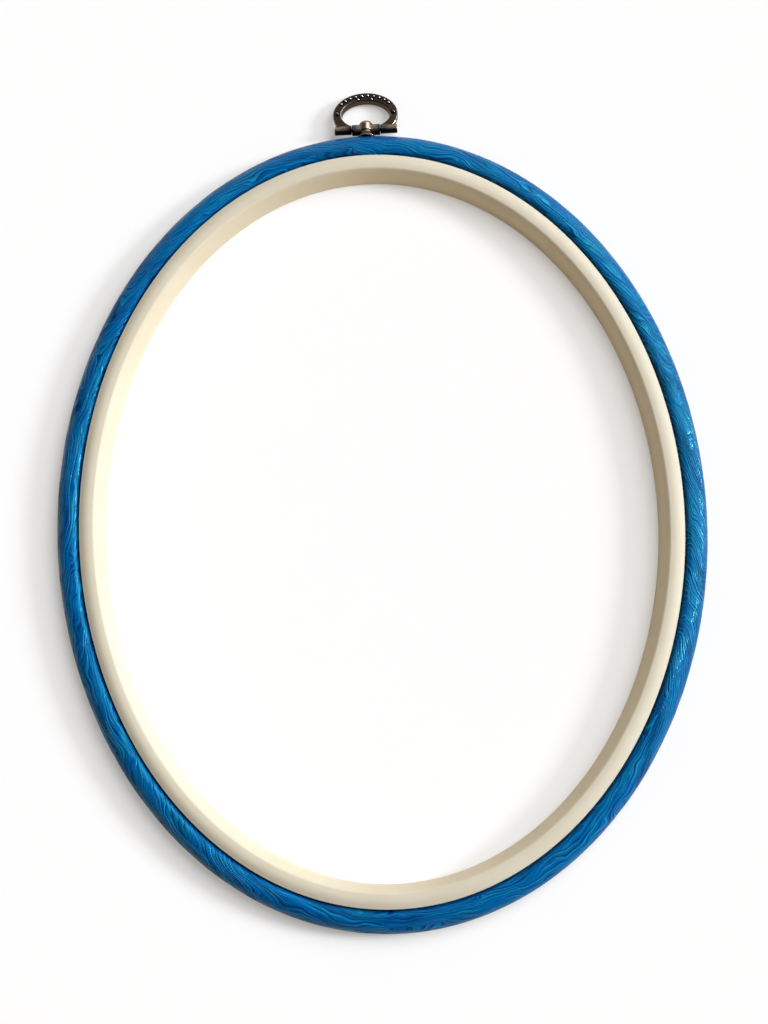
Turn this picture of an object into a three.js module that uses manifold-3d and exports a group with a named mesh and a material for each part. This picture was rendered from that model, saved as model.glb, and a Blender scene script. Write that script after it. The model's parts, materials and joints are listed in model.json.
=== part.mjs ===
// Oval embroidery hoop: a rigid inner hoop with a lip, a flexible outer hoop that grips it, and a small
// hinged hanger screwed through the outer hoop. Lengths are in millimetres and +Z is up. The hoop lies on its
// back with the lip on top, its long axis runs along Y and the hanger stands at the +Y end.
import * as THREE from 'three';
import { mergeVertices } from 'three/addons/utils/BufferGeometryUtils.js';
import Module from 'manifold-3d';

const wasm = await Module();
wasm.setup();

// Oval. Both hoops follow the lip's outer edge. In their outlines u is the distance outwards from that edge,
// square to it, and the height is measured up from the back.
const ovalWidth = 195;
const ovalLength = 246;

// Flexible outer hoop
const hoopClearance = 0.3;
const outerWidth = 8.7;
const outerHeight = 7.8;
const outerBulge = 4.3;
const shoulderDrop = 3.6;
const outerBackRound = 1.0;

// Rigid inner hoop
const lipReach = 1.4;
const lipGap = 0.25;
const lipThickness = 0.8;
const lipCove = 0.3;
const crownRise = 0.9;
const crownInset = 3.4;
const ridgeInset = 4.7;
const ridgeDrop = 0.17;
const ridgeRound = 0.8;
const ridgeFootDrop = 1.6;
const ridgePull = 0.2;
const innerBackWidth = 7.8;
const innerWallSwell = 0.5;
const innerBackRound = 0.5;
const innerWall = 1.6;
const channelRoof = 2.6;
const channelRound = 0.4;

// Hanger post: a domed boss on a thin flared foot, with a knuckle across it and a stem that goes through the
// outer hoop
const axisRise = 2.35;
const bossTopDiameter = 4.4;
const bossFootDiameter = 4.9;
const bossDomeRise = 3.15;
const bossShoulder = 1.75;
const bossFootDrop = 0.55;
const bossFootRound = 0.3;
const footDiameter = 5.9;
const footThickness = 0.35;
const footSink = 0.3;
const seatGap = 0.1;
const seatMargin = 0.3;
const knuckleDiameter = 3.7;
const knuckleLength = 9.0;
const knuckleChamfer = 0.2;
const stemClearance = 0.15;

// Hinge pin and bail
const pinDiameter = 1.2;
const pinClearance = 0.12;
const pinChamfer = 0.15;
const pinRecess = 0.1;
const barrelDiameter = 2.9;
const barrelLength = 5.75;
const barrelChamfer = 0.15;
const barrelGap = 0.3;
const bailHalfWidth = 10.85;
const bailCentreRise = 5.45;
const bailReach = 13.75;
const bailThickness = 2.4;
const bailEdgeRound = 0.35;
const bailSideWidth = 2.7;
const bailTopWidth = 3.0;
const eyeTaper = 0.07;
const knuckleClearance = 0.3;
const restGap = 0.05;

// Beads cast on the front of the bail. A bead lies at this share of the way from the eye to the rim, and its
// spread is the angle in degrees from the first bead of its row to the last.
const beadDiameter = 0.9;
const beadSink = 0.12;
const beadCount = 10;
const beadSpread = 108;
const beadShare = 0.6;
const innerBeadCount = 2;
const innerBeadSpread = 30;
const innerBeadShare = 0.2;
const sideBeadCount = 2;
const sideBeadDiameter = 1.35;
const sideBeadSpread = 170;
const sideBeadShare = 0.5;

// Screw and washer, put in from the inside of the outer hoop
const screwDiameter = 2.0;
const screwClearance = 0.15;
const screwHeadDiameter = 3.8;
const screwHeadHeight = 1.1;
const screwSlotWidth = 0.5;
const screwSlotDepth = 0.5;
const screwTipGap = 0.4;
const washerDiameter = 5.2;
const washerThickness = 0.5;
const washerClearance = 0.25;
const screwHeadRecess = 0.2;
const stemWall = 0.35;
const stemSetback = 0.9;
const boreRoof = 0.6;

// How finely round shapes are split, and how far a cut runs past what it cuts
const ovalSteps = 96;
const boreSides = 20;
const barSides = 24;
const turnedSides = 28;
const pocketSides = 32;
const eyeSides = 48;
const rimSegments = 28;
const beadSides = 8;
const beadRings = 6;
const filletRuns = 2;
const slopeRuns = 3;
const shoulderRuns = 4;
const flareRuns = 5;
const lipRuns = 6;
const headRuns = 6;
const domeRuns = 8;
const bulgeRuns = 10;
const mergeTolerance = 1e-5;
const cutPast = 1;

// Places that follow from the sizes
const ovalHalfWidth = ovalWidth / 2;
const ovalHalfLength = ovalLength / 2;
const coreU = -lipReach;
const gripU = coreU + hoopClearance;
const outerU = gripU + outerWidth;
const crestU = outerU - outerBulge;
const shoulderHeight = outerHeight - shoulderDrop;
const overlapShare = crestU / (crestU - gripU);
const lipUnderside = shoulderHeight + shoulderDrop * Math.sqrt(1 - overlapShare ** 2) + lipGap;
const lipRadius = lipThickness / 2;
const innerHeight = lipUnderside + lipThickness + crownRise;
const hingeY = ovalHalfLength + outerU + axisRise;
const hingeZ = outerHeight / 2;
const seatY = -axisRise - footSink;
const footBaseY = seatY + seatGap;
const bossFootY = -bossFootDrop;
const gripY = -axisRise - outerWidth;
const headTopY = gripY + screwHeadRecess + screwHeadHeight;
const washerTopY = headTopY + seatGap + washerThickness;
const pocketY = washerTopY + seatGap;
const stemEndY = pocketY + stemSetback;
const stemRadius = screwDiameter / 2 + screwClearance + stemWall;
const boreEndY = -pinDiameter / 2 - pinClearance - boreRoof;
const barrelStart = knuckleLength / 2 + barrelGap;
const barrelEnd = barrelStart + barrelLength;
const bailHalfHeight = bailReach - bailCentreRise;
const eyeHalfWidth = bailHalfWidth - bailSideWidth;
const eyeHalfHeight = bailHalfHeight - bailTopWidth;
const bailDroop = Math.asin((hingeZ - restGap) / Math.hypot(bailReach, bailThickness / 2))
  - Math.atan2(bailThickness / 2, bailReach);

// Materials
const creamPlastic = new THREE.MeshStandardMaterial({ color: 0xe6e0cf, roughness: 0.5, metalness: 0 });
const blueVinyl = new THREE.MeshStandardMaterial({ color: 0x0568a8, roughness: 0.45, metalness: 0 });
const agedMetal = new THREE.MeshStandardMaterial({ color: 0x54493c, roughness: 0.38, metalness: 1 });
const brightSteel = new THREE.MeshStandardMaterial({ color: 0xb9b6ae, roughness: 0.35, metalness: 1 });

// Outline helpers. Each gives a stretch of curve and the number of straight runs that it is split into.
const at = (u, height) => new THREE.Vector2(u, height);
const line = (from, to) => [new THREE.LineCurve(from, to), 1];
const bend = (from, pull, to, runs) => [new THREE.QuadraticBezierCurve(from, pull, to), runs];

function arc(centre, halfWidth, halfHeight, fromDegrees, toDegrees, runs) {
  const from = THREE.MathUtils.degToRad(fromDegrees);
  const to = THREE.MathUtils.degToRad(toDegrees);
  const clockwise = to < from;
  return [new THREE.EllipseCurve(centre.x, centre.y, halfWidth, halfHeight, from, to, clockwise, 0), runs];
}

// Points along the stretches, one after the other. A closed outline doesn't repeat its first point.
function outline(closed, ...stretches) {
  const points = [];
  for (const [curve, runs] of stretches) {
    points.push(...curve.getPoints(runs).slice(0, -1));
  }
  if (!closed) {
    const [lastCurve] = stretches[stretches.length - 1];
    points.push(lastCurve.getPoint(1));
  }
  return points;
}

// A mesh's volume, positive when its faces point out.
function signedVolume(geometry) {
  const position = geometry.getAttribute('position');
  const index = geometry.getIndex();
  const [a, b, c] = [new THREE.Vector3(), new THREE.Vector3(), new THREE.Vector3()];
  let sum = 0;
  for (let i = 0; i < index.count; i += 3) {
    a.fromBufferAttribute(position, index.getX(i));
    b.fromBufferAttribute(position, index.getX(i + 1));
    c.fromBufferAttribute(position, index.getX(i + 2));
    sum += a.dot(b.cross(c)) / 6;
  }
  return sum;
}

// The geometry with shared vertices and with its faces pointing out.
function closedGeometry(geometry) {
  const bare = geometry.clone();
  bare.deleteAttribute('normal');
  bare.deleteAttribute('uv');
  const merged = mergeVertices(bare, mergeTolerance);
  if (signedVolume(merged) < 0) {
    merged.getIndex().array.reverse();
  }
  return merged;
}

function toSolid(geometry) {
  const merged = closedGeometry(geometry);
  const mesh = new wasm.Mesh({
    numProp: 3,
    vertProperties: new Float32Array(merged.getAttribute('position').array),
    triVerts: new Uint32Array(merged.getIndex().array),
  });
  return new wasm.Manifold(mesh);
}

function toGeometry(solid) {
  const { vertProperties, triVerts } = solid.getMesh();
  const geometry = new THREE.BufferGeometry();
  geometry.setAttribute('position', new THREE.BufferAttribute(new Float32Array(vertProperties), 3));
  geometry.setIndex(new THREE.BufferAttribute(new Uint32Array(triVerts), 1));
  return geometry;
}

function namedMesh(name, geometry, material) {
  const shown = closedGeometry(geometry);
  shown.computeVertexNormals();
  const mesh = new THREE.Mesh(shown, material);
  mesh.name = name;
  return mesh;
}

// A closed outline of (u, height) points carried once around the oval.
function ovalRing(points) {
  const vertices = [];
  const faces = [];
  const count = points.length;
  for (let step = 0; step < ovalSteps; step += 1) {
    const angle = (step / ovalSteps) * 2 * Math.PI;
    const edge = at(ovalHalfWidth * Math.cos(angle), ovalHalfLength * Math.sin(angle));
    const normal = at(Math.cos(angle) / ovalHalfWidth, Math.sin(angle) / ovalHalfLength).normalize();
    for (const point of points) {
      vertices.push(edge.x + normal.x * point.x, edge.y + normal.y * point.x, point.y);
    }
    const here = step * count;
    const next = ((step + 1) % ovalSteps) * count;
    for (let i = 0; i < count; i += 1) {
      const j = (i + 1) % count;
      faces.push(here + i, next + i, next + j, here + i, next + j, here + j);
    }
  }
  const geometry = new THREE.BufferGeometry();
  geometry.setAttribute('position', new THREE.Float32BufferAttribute(vertices, 3));
  geometry.setIndex(faces);
  return geometry;
}

// A round bar along Y with chamfered ends, from one height to another.
function chamferedBar(radius, from, to, chamfer) {
  const points = [
    at(0, from),
    at(radius - chamfer, from),
    at(radius, from + chamfer),
    at(radius, to - chamfer),
    at(radius - chamfer, to),
    at(0, to),
  ];
  return new THREE.LatheGeometry(points, barSides);
}

// The same bar along X.
function crossBar(radius, from, to, chamfer) {
  return chamferedBar(radius, from, to, chamfer).rotateZ(-Math.PI / 2);
}

// A plain drill along Y, as a solid to cut with.
function drill(radius, from, to, sides) {
  const geometry = new THREE.CylinderGeometry(radius, radius, to - from, sides);
  return toSolid(geometry.translate(0, (from + to) / 2, 0));
}

// A plain drill along X.
function crossDrill(radius, reach, sides) {
  return toSolid(new THREE.CylinderGeometry(radius, radius, 2 * reach, sides).rotateZ(Math.PI / 2));
}

// Rigid inner hoop: the wall that the outer hoop grips, a lip over it, a crowned front, a soft ridge, an
// inner wall that leans inwards to the back, and a moulding channel that is open at the back.
function innerHoop() {
  const lipTop = at(-lipRadius, lipUnderside + lipThickness);
  const crown = at(-crownInset, innerHeight);
  const ridge = at(-ridgeInset, innerHeight - ridgeDrop);
  const ridgeFoot = at(-ridgeInset - ridgeRound, innerHeight - ridgeFootDrop);
  const innerFoot = at(-innerBackWidth, innerBackRound);
  const innerFootCentre = at(-innerBackWidth + innerBackRound, innerBackRound);
  const swell = ridgeFoot.clone().lerp(innerFoot, 0.5).add(at(-innerWallSwell, innerWallSwell));
  const channelOuter = coreU - innerWall;
  const channelInner = -innerBackWidth + innerWall;
  const channelTop = innerHeight - channelRoof;
  const points = outline(
    true,
    line(at(channelOuter, 0), at(coreU - innerBackRound, 0)),
    arc(at(coreU - innerBackRound, innerBackRound), innerBackRound, innerBackRound, -90, 0, filletRuns),
    line(at(coreU, innerBackRound), at(coreU, lipUnderside - lipCove)),
    arc(at(coreU + lipCove, lipUnderside - lipCove), lipCove, lipCove, 180, 90, filletRuns),
    line(at(coreU + lipCove, lipUnderside), at(-lipRadius, lipUnderside)),
    arc(at(-lipRadius, lipUnderside + lipRadius), lipRadius, lipRadius, -90, 90, lipRuns),
    bend(lipTop, at((lipTop.x + crown.x) / 2, innerHeight), crown, slopeRuns),
    line(crown, ridge),
    bend(ridge, at(ridgeFoot.x + ridgePull, ridge.y - ridgePull), ridgeFoot, filletRuns),
    bend(ridgeFoot, swell, innerFoot, slopeRuns),
    arc(innerFootCentre, innerBackRound, innerBackRound, 180, 270, filletRuns),
    line(at(innerFootCentre.x, 0), at(channelInner, 0)),
    line(at(channelInner, 0), at(-ridgeInset, channelTop - channelRound)),
    line(at(-ridgeInset, channelTop - channelRound), at(-ridgeInset + channelRound, channelTop)),
    line(at(-ridgeInset + channelRound, channelTop), at(channelOuter - channelRound, channelTop)),
    line(at(channelOuter - channelRound, channelTop), at(channelOuter, channelTop - channelRound)),
    line(at(channelOuter, channelTop - channelRound), at(channelOuter, 0)),
  );
  return namedMesh('inner_hoop', ovalRing(points), creamPlastic);
}

// Flexible outer hoop: a round outside, a flat wall that grips the inner hoop and a shoulder under its lip.
// It has a hole for the hanger's stem, a flat seat for the foot and a pocket for the washer and screw head.
function outerHoop() {
  const points = outline(
    true,
    line(at(gripU + outerBackRound, 0), at(crestU, 0)),
    arc(at(crestU, outerHeight / 2), outerBulge, outerHeight / 2, -90, 90, bulgeRuns),
    arc(at(crestU, shoulderHeight), crestU - gripU, shoulderDrop, 90, 180, shoulderRuns),
    line(at(gripU, shoulderHeight), at(gripU, outerBackRound)),
    arc(at(gripU + outerBackRound, outerBackRound), outerBackRound, outerBackRound, 180, 270, filletRuns),
  );
  const toHinge = new THREE.Vector3(0, hingeY, hingeZ).toArray();
  const stemHole = drill(stemRadius + stemClearance, pocketY - cutPast, 0, barSides).translate(toHinge);
  const seat = drill(footDiameter / 2 + seatMargin, seatY, 0, pocketSides).translate(toHinge);
  const pocketRadius = washerDiameter / 2 + washerClearance;
  const pocket = drill(pocketRadius, gripY - cutPast, pocketY, pocketSides).translate(toHinge);
  const cut = toSolid(ovalRing(points)).subtract(stemHole).subtract(seat).subtract(pocket);
  return namedMesh('outer_hoop', toGeometry(cut), blueVinyl);
}

// Hanger post, with its hinge axis along X through the origin. The foot is hollow underneath.
function hangerPost() {
  const waistRadius = bossFootDiameter / 2 - bossFootRound;
  const rimRadius = footDiameter / 2;
  const topRadius = bossTopDiameter / 2;
  const hollowTop = at(stemRadius, (bossFootY + footBaseY) / 2 - footThickness);
  const innerRim = at(rimRadius - footThickness / 2, footBaseY);
  const rim = at(rimRadius, footBaseY + footThickness / 2);
  const waist = at(waistRadius, bossFootY - bossFootRound);
  const bossFoot = at(bossFootDiameter / 2, bossFootY + bossFootRound);
  const profile = outline(
    false,
    line(at(0, stemEndY), at(stemRadius, stemEndY)),
    line(at(stemRadius, stemEndY), hollowTop),
    bend(hollowTop, at(innerRim.x - footThickness, hollowTop.y), innerRim, shoulderRuns),
    line(innerRim, rim),
    bend(rim, at(waistRadius + footThickness / 2, (rim.y + waist.y) / 2), waist, flareRuns),
    bend(waist, at(waistRadius, bossFootY), bossFoot, slopeRuns),
    line(bossFoot, at(topRadius, bossShoulder)),
    arc(at(0, bossShoulder), topRadius, bossDomeRise - bossShoulder, 0, 90, domeRuns),
  );
  const boss = toSolid(new THREE.LatheGeometry(profile, turnedSides));
  const halfKnuckle = knuckleLength / 2;
  const knuckle = toSolid(crossBar(knuckleDiameter / 2, -halfKnuckle, halfKnuckle, knuckleChamfer));
  const pinBore = crossDrill(pinDiameter / 2 + pinClearance, knuckleLength, boreSides);
  const screwBore = drill(screwDiameter / 2 + screwClearance, stemEndY - cutPast, boreEndY, boreSides);
  const post = boss.add(knuckle).subtract(pinBore).subtract(screwBore);
  return namedMesh('hanger_post', toGeometry(post), agedMetal);
}

// Pin through the barrels and the knuckle.
function hingePin() {
  const halfLength = barrelEnd - pinRecess;
  return namedMesh('hinge_pin', crossBar(pinDiameter / 2, -halfLength, halfLength, pinChamfer), agedMetal);
}

// A bead on the bail's front face, at an angle around the bail's oval.
function bead(degrees, share, diameter) {
  const angle = THREE.MathUtils.degToRad(degrees);
  const sphere = new THREE.SphereGeometry(diameter / 2, beadSides, beadRings).rotateX(Math.PI / 2);
  return toSolid(sphere.translate(
    THREE.MathUtils.lerp(eyeHalfWidth, bailHalfWidth, share) * Math.cos(angle),
    bailCentreRise + THREE.MathUtils.lerp(eyeHalfHeight, bailHalfHeight, share) * Math.sin(angle),
    bailThickness / 2 - beadSink,
  ));
}

// Beads side by side over a spread of angles that is centred on the top of the bail.
function beadRow(count, spread, share, diameter) {
  const start = 90 - spread / 2;
  const step = spread / (count - 1);
  return Array.from({ length: count }, (_, i) => bead(start + i * step, share, diameter));
}

// The eye's size at a height over the middle of the band, as a share of its size at the front.
function eyeScale(height) {
  return 1 + eyeTaper * (height / bailThickness - 0.5);
}

// Bail: an oval band whose legs run into two barrels on the hinge axis. The eye narrows towards the back.
function hangerBail() {
  const rim = new THREE.Shape();
  rim.absellipse(0, bailCentreRise, bailHalfWidth, bailHalfHeight, 0, 2 * Math.PI, false, 0);
  const band = toSolid(new THREE.ExtrudeGeometry(rim, {
    depth: bailThickness - 2 * bailEdgeRound,
    curveSegments: rimSegments,
    bevelEnabled: true,
    bevelThickness: bailEdgeRound,
    bevelSize: bailEdgeRound,
    bevelOffset: -bailEdgeRound,
    bevelSegments: filletRuns,
  }).translate(0, 0, bailEdgeRound - bailThickness / 2));
  const reach = bailThickness / 2 + cutPast;
  const eye = toSolid(new THREE.CylinderGeometry(eyeScale(reach), eyeScale(-reach), 2 * reach, eyeSides)
    .rotateX(Math.PI / 2)
    .scale(eyeHalfWidth, eyeHalfHeight, 1)
    .translate(0, bailCentreRise, 0));
  const underside = toSolid(new THREE.BoxGeometry(2 * (bailHalfWidth + cutPast), bailReach, 2 * reach)
    .translate(0, -bailReach / 2, 0));
  const knuckleRoom = crossDrill(knuckleDiameter / 2 + knuckleClearance, barrelStart, pocketSides);
  const barrelRadius = barrelDiameter / 2;
  const rightBarrel = toSolid(crossBar(barrelRadius, barrelStart, barrelEnd, barrelChamfer));
  const leftBarrel = toSolid(crossBar(barrelRadius, -barrelEnd, -barrelStart, barrelChamfer));
  const pinBore = crossDrill(pinDiameter / 2 + pinClearance, barrelEnd + cutPast, boreSides);
  const beads = [
    ...beadRow(beadCount, beadSpread, beadShare, beadDiameter),
    ...beadRow(innerBeadCount, innerBeadSpread, innerBeadShare, beadDiameter),
    ...beadRow(sideBeadCount, sideBeadSpread, sideBeadShare, sideBeadDiameter),
  ];
  let bail = band.subtract(eye).subtract(underside).subtract(knuckleRoom);
  bail = bail.add(rightBarrel).add(leftBarrel).subtract(pinBore);
  for (const oneBead of beads) {
    bail = bail.add(oneBead);
  }
  return namedMesh('hanger_bail', toGeometry(bail), agedMetal);
}

// Flat washer at the bottom of the outer hoop's pocket.
function screwWasher() {
  const inner = screwDiameter / 2 + screwClearance;
  const outer = washerDiameter / 2;
  const bottom = washerTopY - washerThickness;
  const points = [
    at(inner, bottom),
    at(outer, bottom),
    at(outer, washerTopY),
    at(inner, washerTopY),
    at(inner, bottom),
  ];
  return namedMesh('screw_washer', new THREE.LatheGeometry(points, pocketSides), brightSteel);
}

// Slotted pan-head screw that pulls the post's stem against the washer.
function hangerScrew() {
  const headBottom = headTopY - screwHeadHeight;
  const headRadius = screwHeadDiameter / 2;
  const shankRadius = screwDiameter / 2;
  const tipY = boreEndY - screwTipGap;
  const profile = outline(
    false,
    arc(at(0, headTopY), headRadius, screwHeadHeight, -90, 0, headRuns),
    line(at(headRadius, headTopY), at(shankRadius, headTopY)),
    line(at(shankRadius, headTopY), at(shankRadius, tipY - screwTipGap)),
    line(at(shankRadius, tipY - screwTipGap), at(shankRadius - screwTipGap, tipY)),
    line(at(shankRadius - screwTipGap, tipY), at(0, tipY)),
  );
  const slotLength = screwHeadDiameter + 2 * cutPast;
  const slot = toSolid(new THREE.BoxGeometry(screwSlotWidth, 2 * screwSlotDepth, slotLength)
    .translate(0, headBottom, 0));
  const screw = toSolid(new THREE.LatheGeometry(profile, barSides)).subtract(slot);
  return namedMesh('hanger_screw', toGeometry(screw), brightSteel);
}

// Assembly. The bail hangs back from the hinge until its tip is just off the surface that the hoop lies on.
const bailPivot = new THREE.Group();
bailPivot.rotation.x = -bailDroop;
bailPivot.add(hangerBail());

const hanger = new THREE.Group();
hanger.position.set(0, hingeY, hingeZ);
hanger.add(hangerPost(), hingePin(), hangerScrew(), screwWasher(), bailPivot);

const assembly = new THREE.Group();
assembly.add(innerHoop(), outerHoop(), hanger);

// The origin lies under the middle of the whole object.
const bounds = new THREE.Box3().setFromObject(assembly, true);
assembly.position.y = -(bounds.min.y + bounds.max.y) / 2;

const embroideryHoop = new THREE.Group();
embroideryHoop.name = 'embroidery_hoop';
embroideryHoop.add(assembly);

export default embroideryHoop;
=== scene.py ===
"""Oval embroidery hoop with a small cast hanger, dressed and lit for a plain bright studio picture.

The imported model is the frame: every size that it knows is read from it, and the rest are fields of the class
that builds the piece. Lengths are in metres, +Z is up and the hoop lies on its back with its long axis on Y.
In a hoop's outline u is the distance outwards from the lip's outer edge and the height is up from the back.
"""

import json
import logging
import math
from dataclasses import dataclass
from enum import Enum
from typing import Any

import bmesh
import bpy
import numpy as np
from mathutils import Matrix, Vector

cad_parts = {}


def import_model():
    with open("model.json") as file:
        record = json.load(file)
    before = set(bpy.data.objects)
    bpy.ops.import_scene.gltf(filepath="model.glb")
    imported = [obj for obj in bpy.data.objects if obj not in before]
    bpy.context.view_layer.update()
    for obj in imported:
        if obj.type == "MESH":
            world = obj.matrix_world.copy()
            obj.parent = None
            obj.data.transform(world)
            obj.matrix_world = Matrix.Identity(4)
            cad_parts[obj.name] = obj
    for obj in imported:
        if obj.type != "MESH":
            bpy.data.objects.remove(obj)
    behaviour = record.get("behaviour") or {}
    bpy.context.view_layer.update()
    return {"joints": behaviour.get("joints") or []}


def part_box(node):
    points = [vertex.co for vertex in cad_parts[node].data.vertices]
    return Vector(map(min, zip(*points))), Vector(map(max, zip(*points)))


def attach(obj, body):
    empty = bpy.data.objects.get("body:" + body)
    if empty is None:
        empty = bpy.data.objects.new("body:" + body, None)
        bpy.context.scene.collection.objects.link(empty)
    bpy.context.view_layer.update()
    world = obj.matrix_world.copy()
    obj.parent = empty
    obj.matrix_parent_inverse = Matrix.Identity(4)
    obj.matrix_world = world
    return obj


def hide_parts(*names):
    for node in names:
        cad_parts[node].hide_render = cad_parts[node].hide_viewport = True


MM = 0.001
PICTURE_HEIGHT = 1024
SENSOR = 36.0
LIP_REACH = 1.4 * MM
TINY = 1e-12
ROUND_SIDES = 64
FINE_SIDES = 96
MIX_FIRST = 6
MIX_SECOND = 7
MIX_RESULT = 2

Point = tuple[float, float]
Colour = tuple[float, float, float]
Socket = bpy.types.NodeSocket

log = logging.getLogger("embroidery_hoop")


class Body(Enum):
    """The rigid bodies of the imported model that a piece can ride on."""

    OUTER = "outer"
    INNER = "inner"
    STEM = "stem"
    BAIL = "bail"


class Slot(Enum):
    """The record's material slots."""

    INNER_PLASTIC = "inner_plastic"
    OUTER_VINYL = "outer_vinyl"
    AGED_METAL = "aged_metal"
    BRIGHT_STEEL = "bright_steel"


def arc(centre: Point, reach: Point, start: float, end: float, runs: int) -> np.ndarray:
    """Points on an upright ellipse's arc.

    Args:
        centre: The ellipse's middle.
        reach: Its half width and half height.
        start: Angle of the first point, in degrees.
        end: Angle of the last point, in degrees.
        runs: How many straight runs the arc is split into.

    Returns:
        The points, one row each.
    """
    turn = np.radians(np.linspace(start, end, runs + 1))
    return np.column_stack([centre[0] + reach[0] * np.cos(turn), centre[1] + reach[1] * np.sin(turn)])


def line(start: Point, end: Point, runs: int = 1) -> np.ndarray:
    """Points on a straight line.

    Args:
        start: The first point.
        end: The last point.
        runs: How many equal runs the line is split into.

    Returns:
        The points, one row each.
    """
    share = np.linspace(0, 1, runs + 1)[:, None]
    return (1 - share) * np.array(start) + share * np.array(end)


def bend(start: Point, pull: Point, end: Point, runs: int) -> np.ndarray:
    """Points on a curve that leaves its start towards a pull point and comes to its end from there.

    Args:
        start: The first point.
        pull: Where the lines that touch the two ends cross.
        end: The last point.
        runs: How many straight runs the curve is split into.

    Returns:
        The points, one row each.
    """
    share = np.linspace(0, 1, runs + 1)[:, None]
    first = (1 - share) * np.array(start) + share * np.array(pull)
    second = (1 - share) * np.array(pull) + share * np.array(end)
    return (1 - share) * first + share * second


def joined(*stretches: np.ndarray, closed: bool) -> np.ndarray:
    """One outline from stretches that follow each other.

    Args:
        stretches: Points of each stretch, its end included.
        closed: Whether the last stretch ends on the first point, which then isn't repeated.

    Returns:
        The outline's points, one row each.
    """
    points = [stretch[:-1] for stretch in stretches]
    if not closed:
        points.append(stretches[-1][-1:])
    return np.vstack(points)


def grid_faces(rows: int, columns: int, close_rows: bool, close_columns: bool) -> np.ndarray:
    """Quads between neighbours of a grid of points that is numbered row by row.

    Args:
        rows: Number of rows.
        columns: Number of points in a row.
        close_rows: Whether the last row joins the first.
        close_columns: Whether each row's last point joins its first.

    Returns:
        Four point numbers for each quad.
    """
    row = np.arange(rows if close_rows else rows - 1)[:, None]
    column = np.arange(columns if close_columns else columns - 1)[None, :]
    here, above = row * columns, ((row + 1) % rows) * columns
    beside = (column + 1) % columns
    corners = [here + column, above + column, above + beside, here + beside]
    return np.stack([np.broadcast_to(c, (row.size, column.size)) for c in corners], -1).reshape(-1, 4)


def add_object(name: str, data: bpy.types.ID) -> bpy.types.Object:
    """Add a mesh, a light or a camera to the scene.

    Args:
        name: The object's name.
        data: The mesh, light or camera.

    Returns:
        The new object.
    """
    made = bpy.data.objects.new(name, data)
    bpy.context.scene.collection.objects.link(made)
    return made


def solid(name: str, vertices: np.ndarray, faces: list | np.ndarray) -> bpy.types.Object:
    """A closed mesh object with its faces turned outwards.

    Args:
        name: The object's name.
        vertices: One row for each point.
        faces: Point numbers of each face.

    Returns:
        The new object.
    """
    mesh = bpy.data.meshes.new(name)
    mesh.from_pydata(vertices.tolist(), [], faces.tolist() if isinstance(faces, np.ndarray) else faces)
    shape = bmesh.new()
    shape.from_mesh(mesh)
    bmesh.ops.recalc_face_normals(shape, faces=shape.faces)
    shape.to_mesh(mesh)
    shape.free()
    mesh.shade_smooth()
    return add_object(name, mesh)


def turned(name: str, profile: np.ndarray, sides: int) -> bpy.types.Object:
    """A profile of (radius, height) points turned round the Y axis.

    Args:
        name: The object's name.
        profile: Points from the axis to the axis, or a closed outline clear of it.
        sides: Number of steps round the axis.

    Returns:
        The new object.
    """
    on_axis = profile[0, 0] < TINY
    ring = profile[1:-1] if on_axis else profile
    radius, height = ring.T
    turns = np.linspace(0, 2 * np.pi, sides, endpoint=False)
    rows = [np.column_stack([radius * c, height, radius * s]) for c, s in zip(np.cos(turns), np.sin(turns))]
    vertices = np.vstack(rows)
    faces = grid_faces(sides, len(ring), True, not on_axis).tolist()
    if on_axis:
        first, last = len(vertices), len(vertices) + 1
        vertices = np.vstack([vertices, [0, profile[0, 1], 0], [0, profile[-1, 1], 0]])
        for side in range(sides):
            here, above = side * len(ring), ((side + 1) % sides) * len(ring)
            faces.append([first, above, here])
            faces.append([last, here + len(ring) - 1, above + len(ring) - 1])
    return solid(name, vertices, faces)


def round_bar(
    name: str, radius: float, start: float, end: float, edge: float, sides: int = ROUND_SIDES,
) -> bpy.types.Object:
    """A bar along X with rounded edges at its ends.

    Args:
        name: The object's name.
        radius: The bar's radius.
        start: Where its first end lies on X.
        end: Where its last end lies on X.
        edge: Radius of the rounded edges.
        sides: Number of steps round the bar.

    Returns:
        The new object.
    """
    corner = (edge, edge)
    profile = joined(
        line((0, start), (radius - edge, start), 3),
        arc((radius - edge, start + edge), corner, -90, 0, 4),
        line((radius, start + edge), (radius, end - edge), 12),
        arc((radius - edge, end - edge), corner, 0, 90, 4),
        line((radius - edge, end), (0, end), 3),
        closed=False,
    )
    bar = turned(name, profile, sides)
    bar.data.transform(Matrix.Rotation(-math.pi / 2, 4, "Z"))
    return bar


def discard(piece: bpy.types.Object) -> None:
    """Delete an object and its mesh.

    Args:
        piece: The object.
    """
    mesh = piece.data
    bpy.data.objects.remove(piece)
    bpy.data.meshes.remove(mesh)


def settle(piece: bpy.types.Object) -> bpy.types.Object:
    """Apply an object's modifiers to its mesh and clear them.

    Args:
        piece: The object.

    Returns:
        The same object.
    """
    view = bpy.context.evaluated_depsgraph_get()
    shaped = bpy.data.meshes.new_from_object(piece.evaluated_get(view), depsgraph=view)
    plain = piece.data
    piece.modifiers.clear()
    piece.data = shaped
    bpy.data.meshes.remove(plain)
    return piece


def cut(piece: bpy.types.Object, *tools: bpy.types.Object) -> bpy.types.Object:
    """Cut tools out of a piece and delete the tools.

    Args:
        piece: The object that is cut.
        tools: Closed objects that are taken away from it.

    Returns:
        The cut object.
    """
    for tool in tools:
        modifier = piece.modifiers.new("cut", "BOOLEAN")
        modifier.operation = "DIFFERENCE"
        modifier.solver = "EXACT"
        modifier.object = tool
    settle(piece)
    for tool in tools:
        discard(tool)
    return piece


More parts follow.
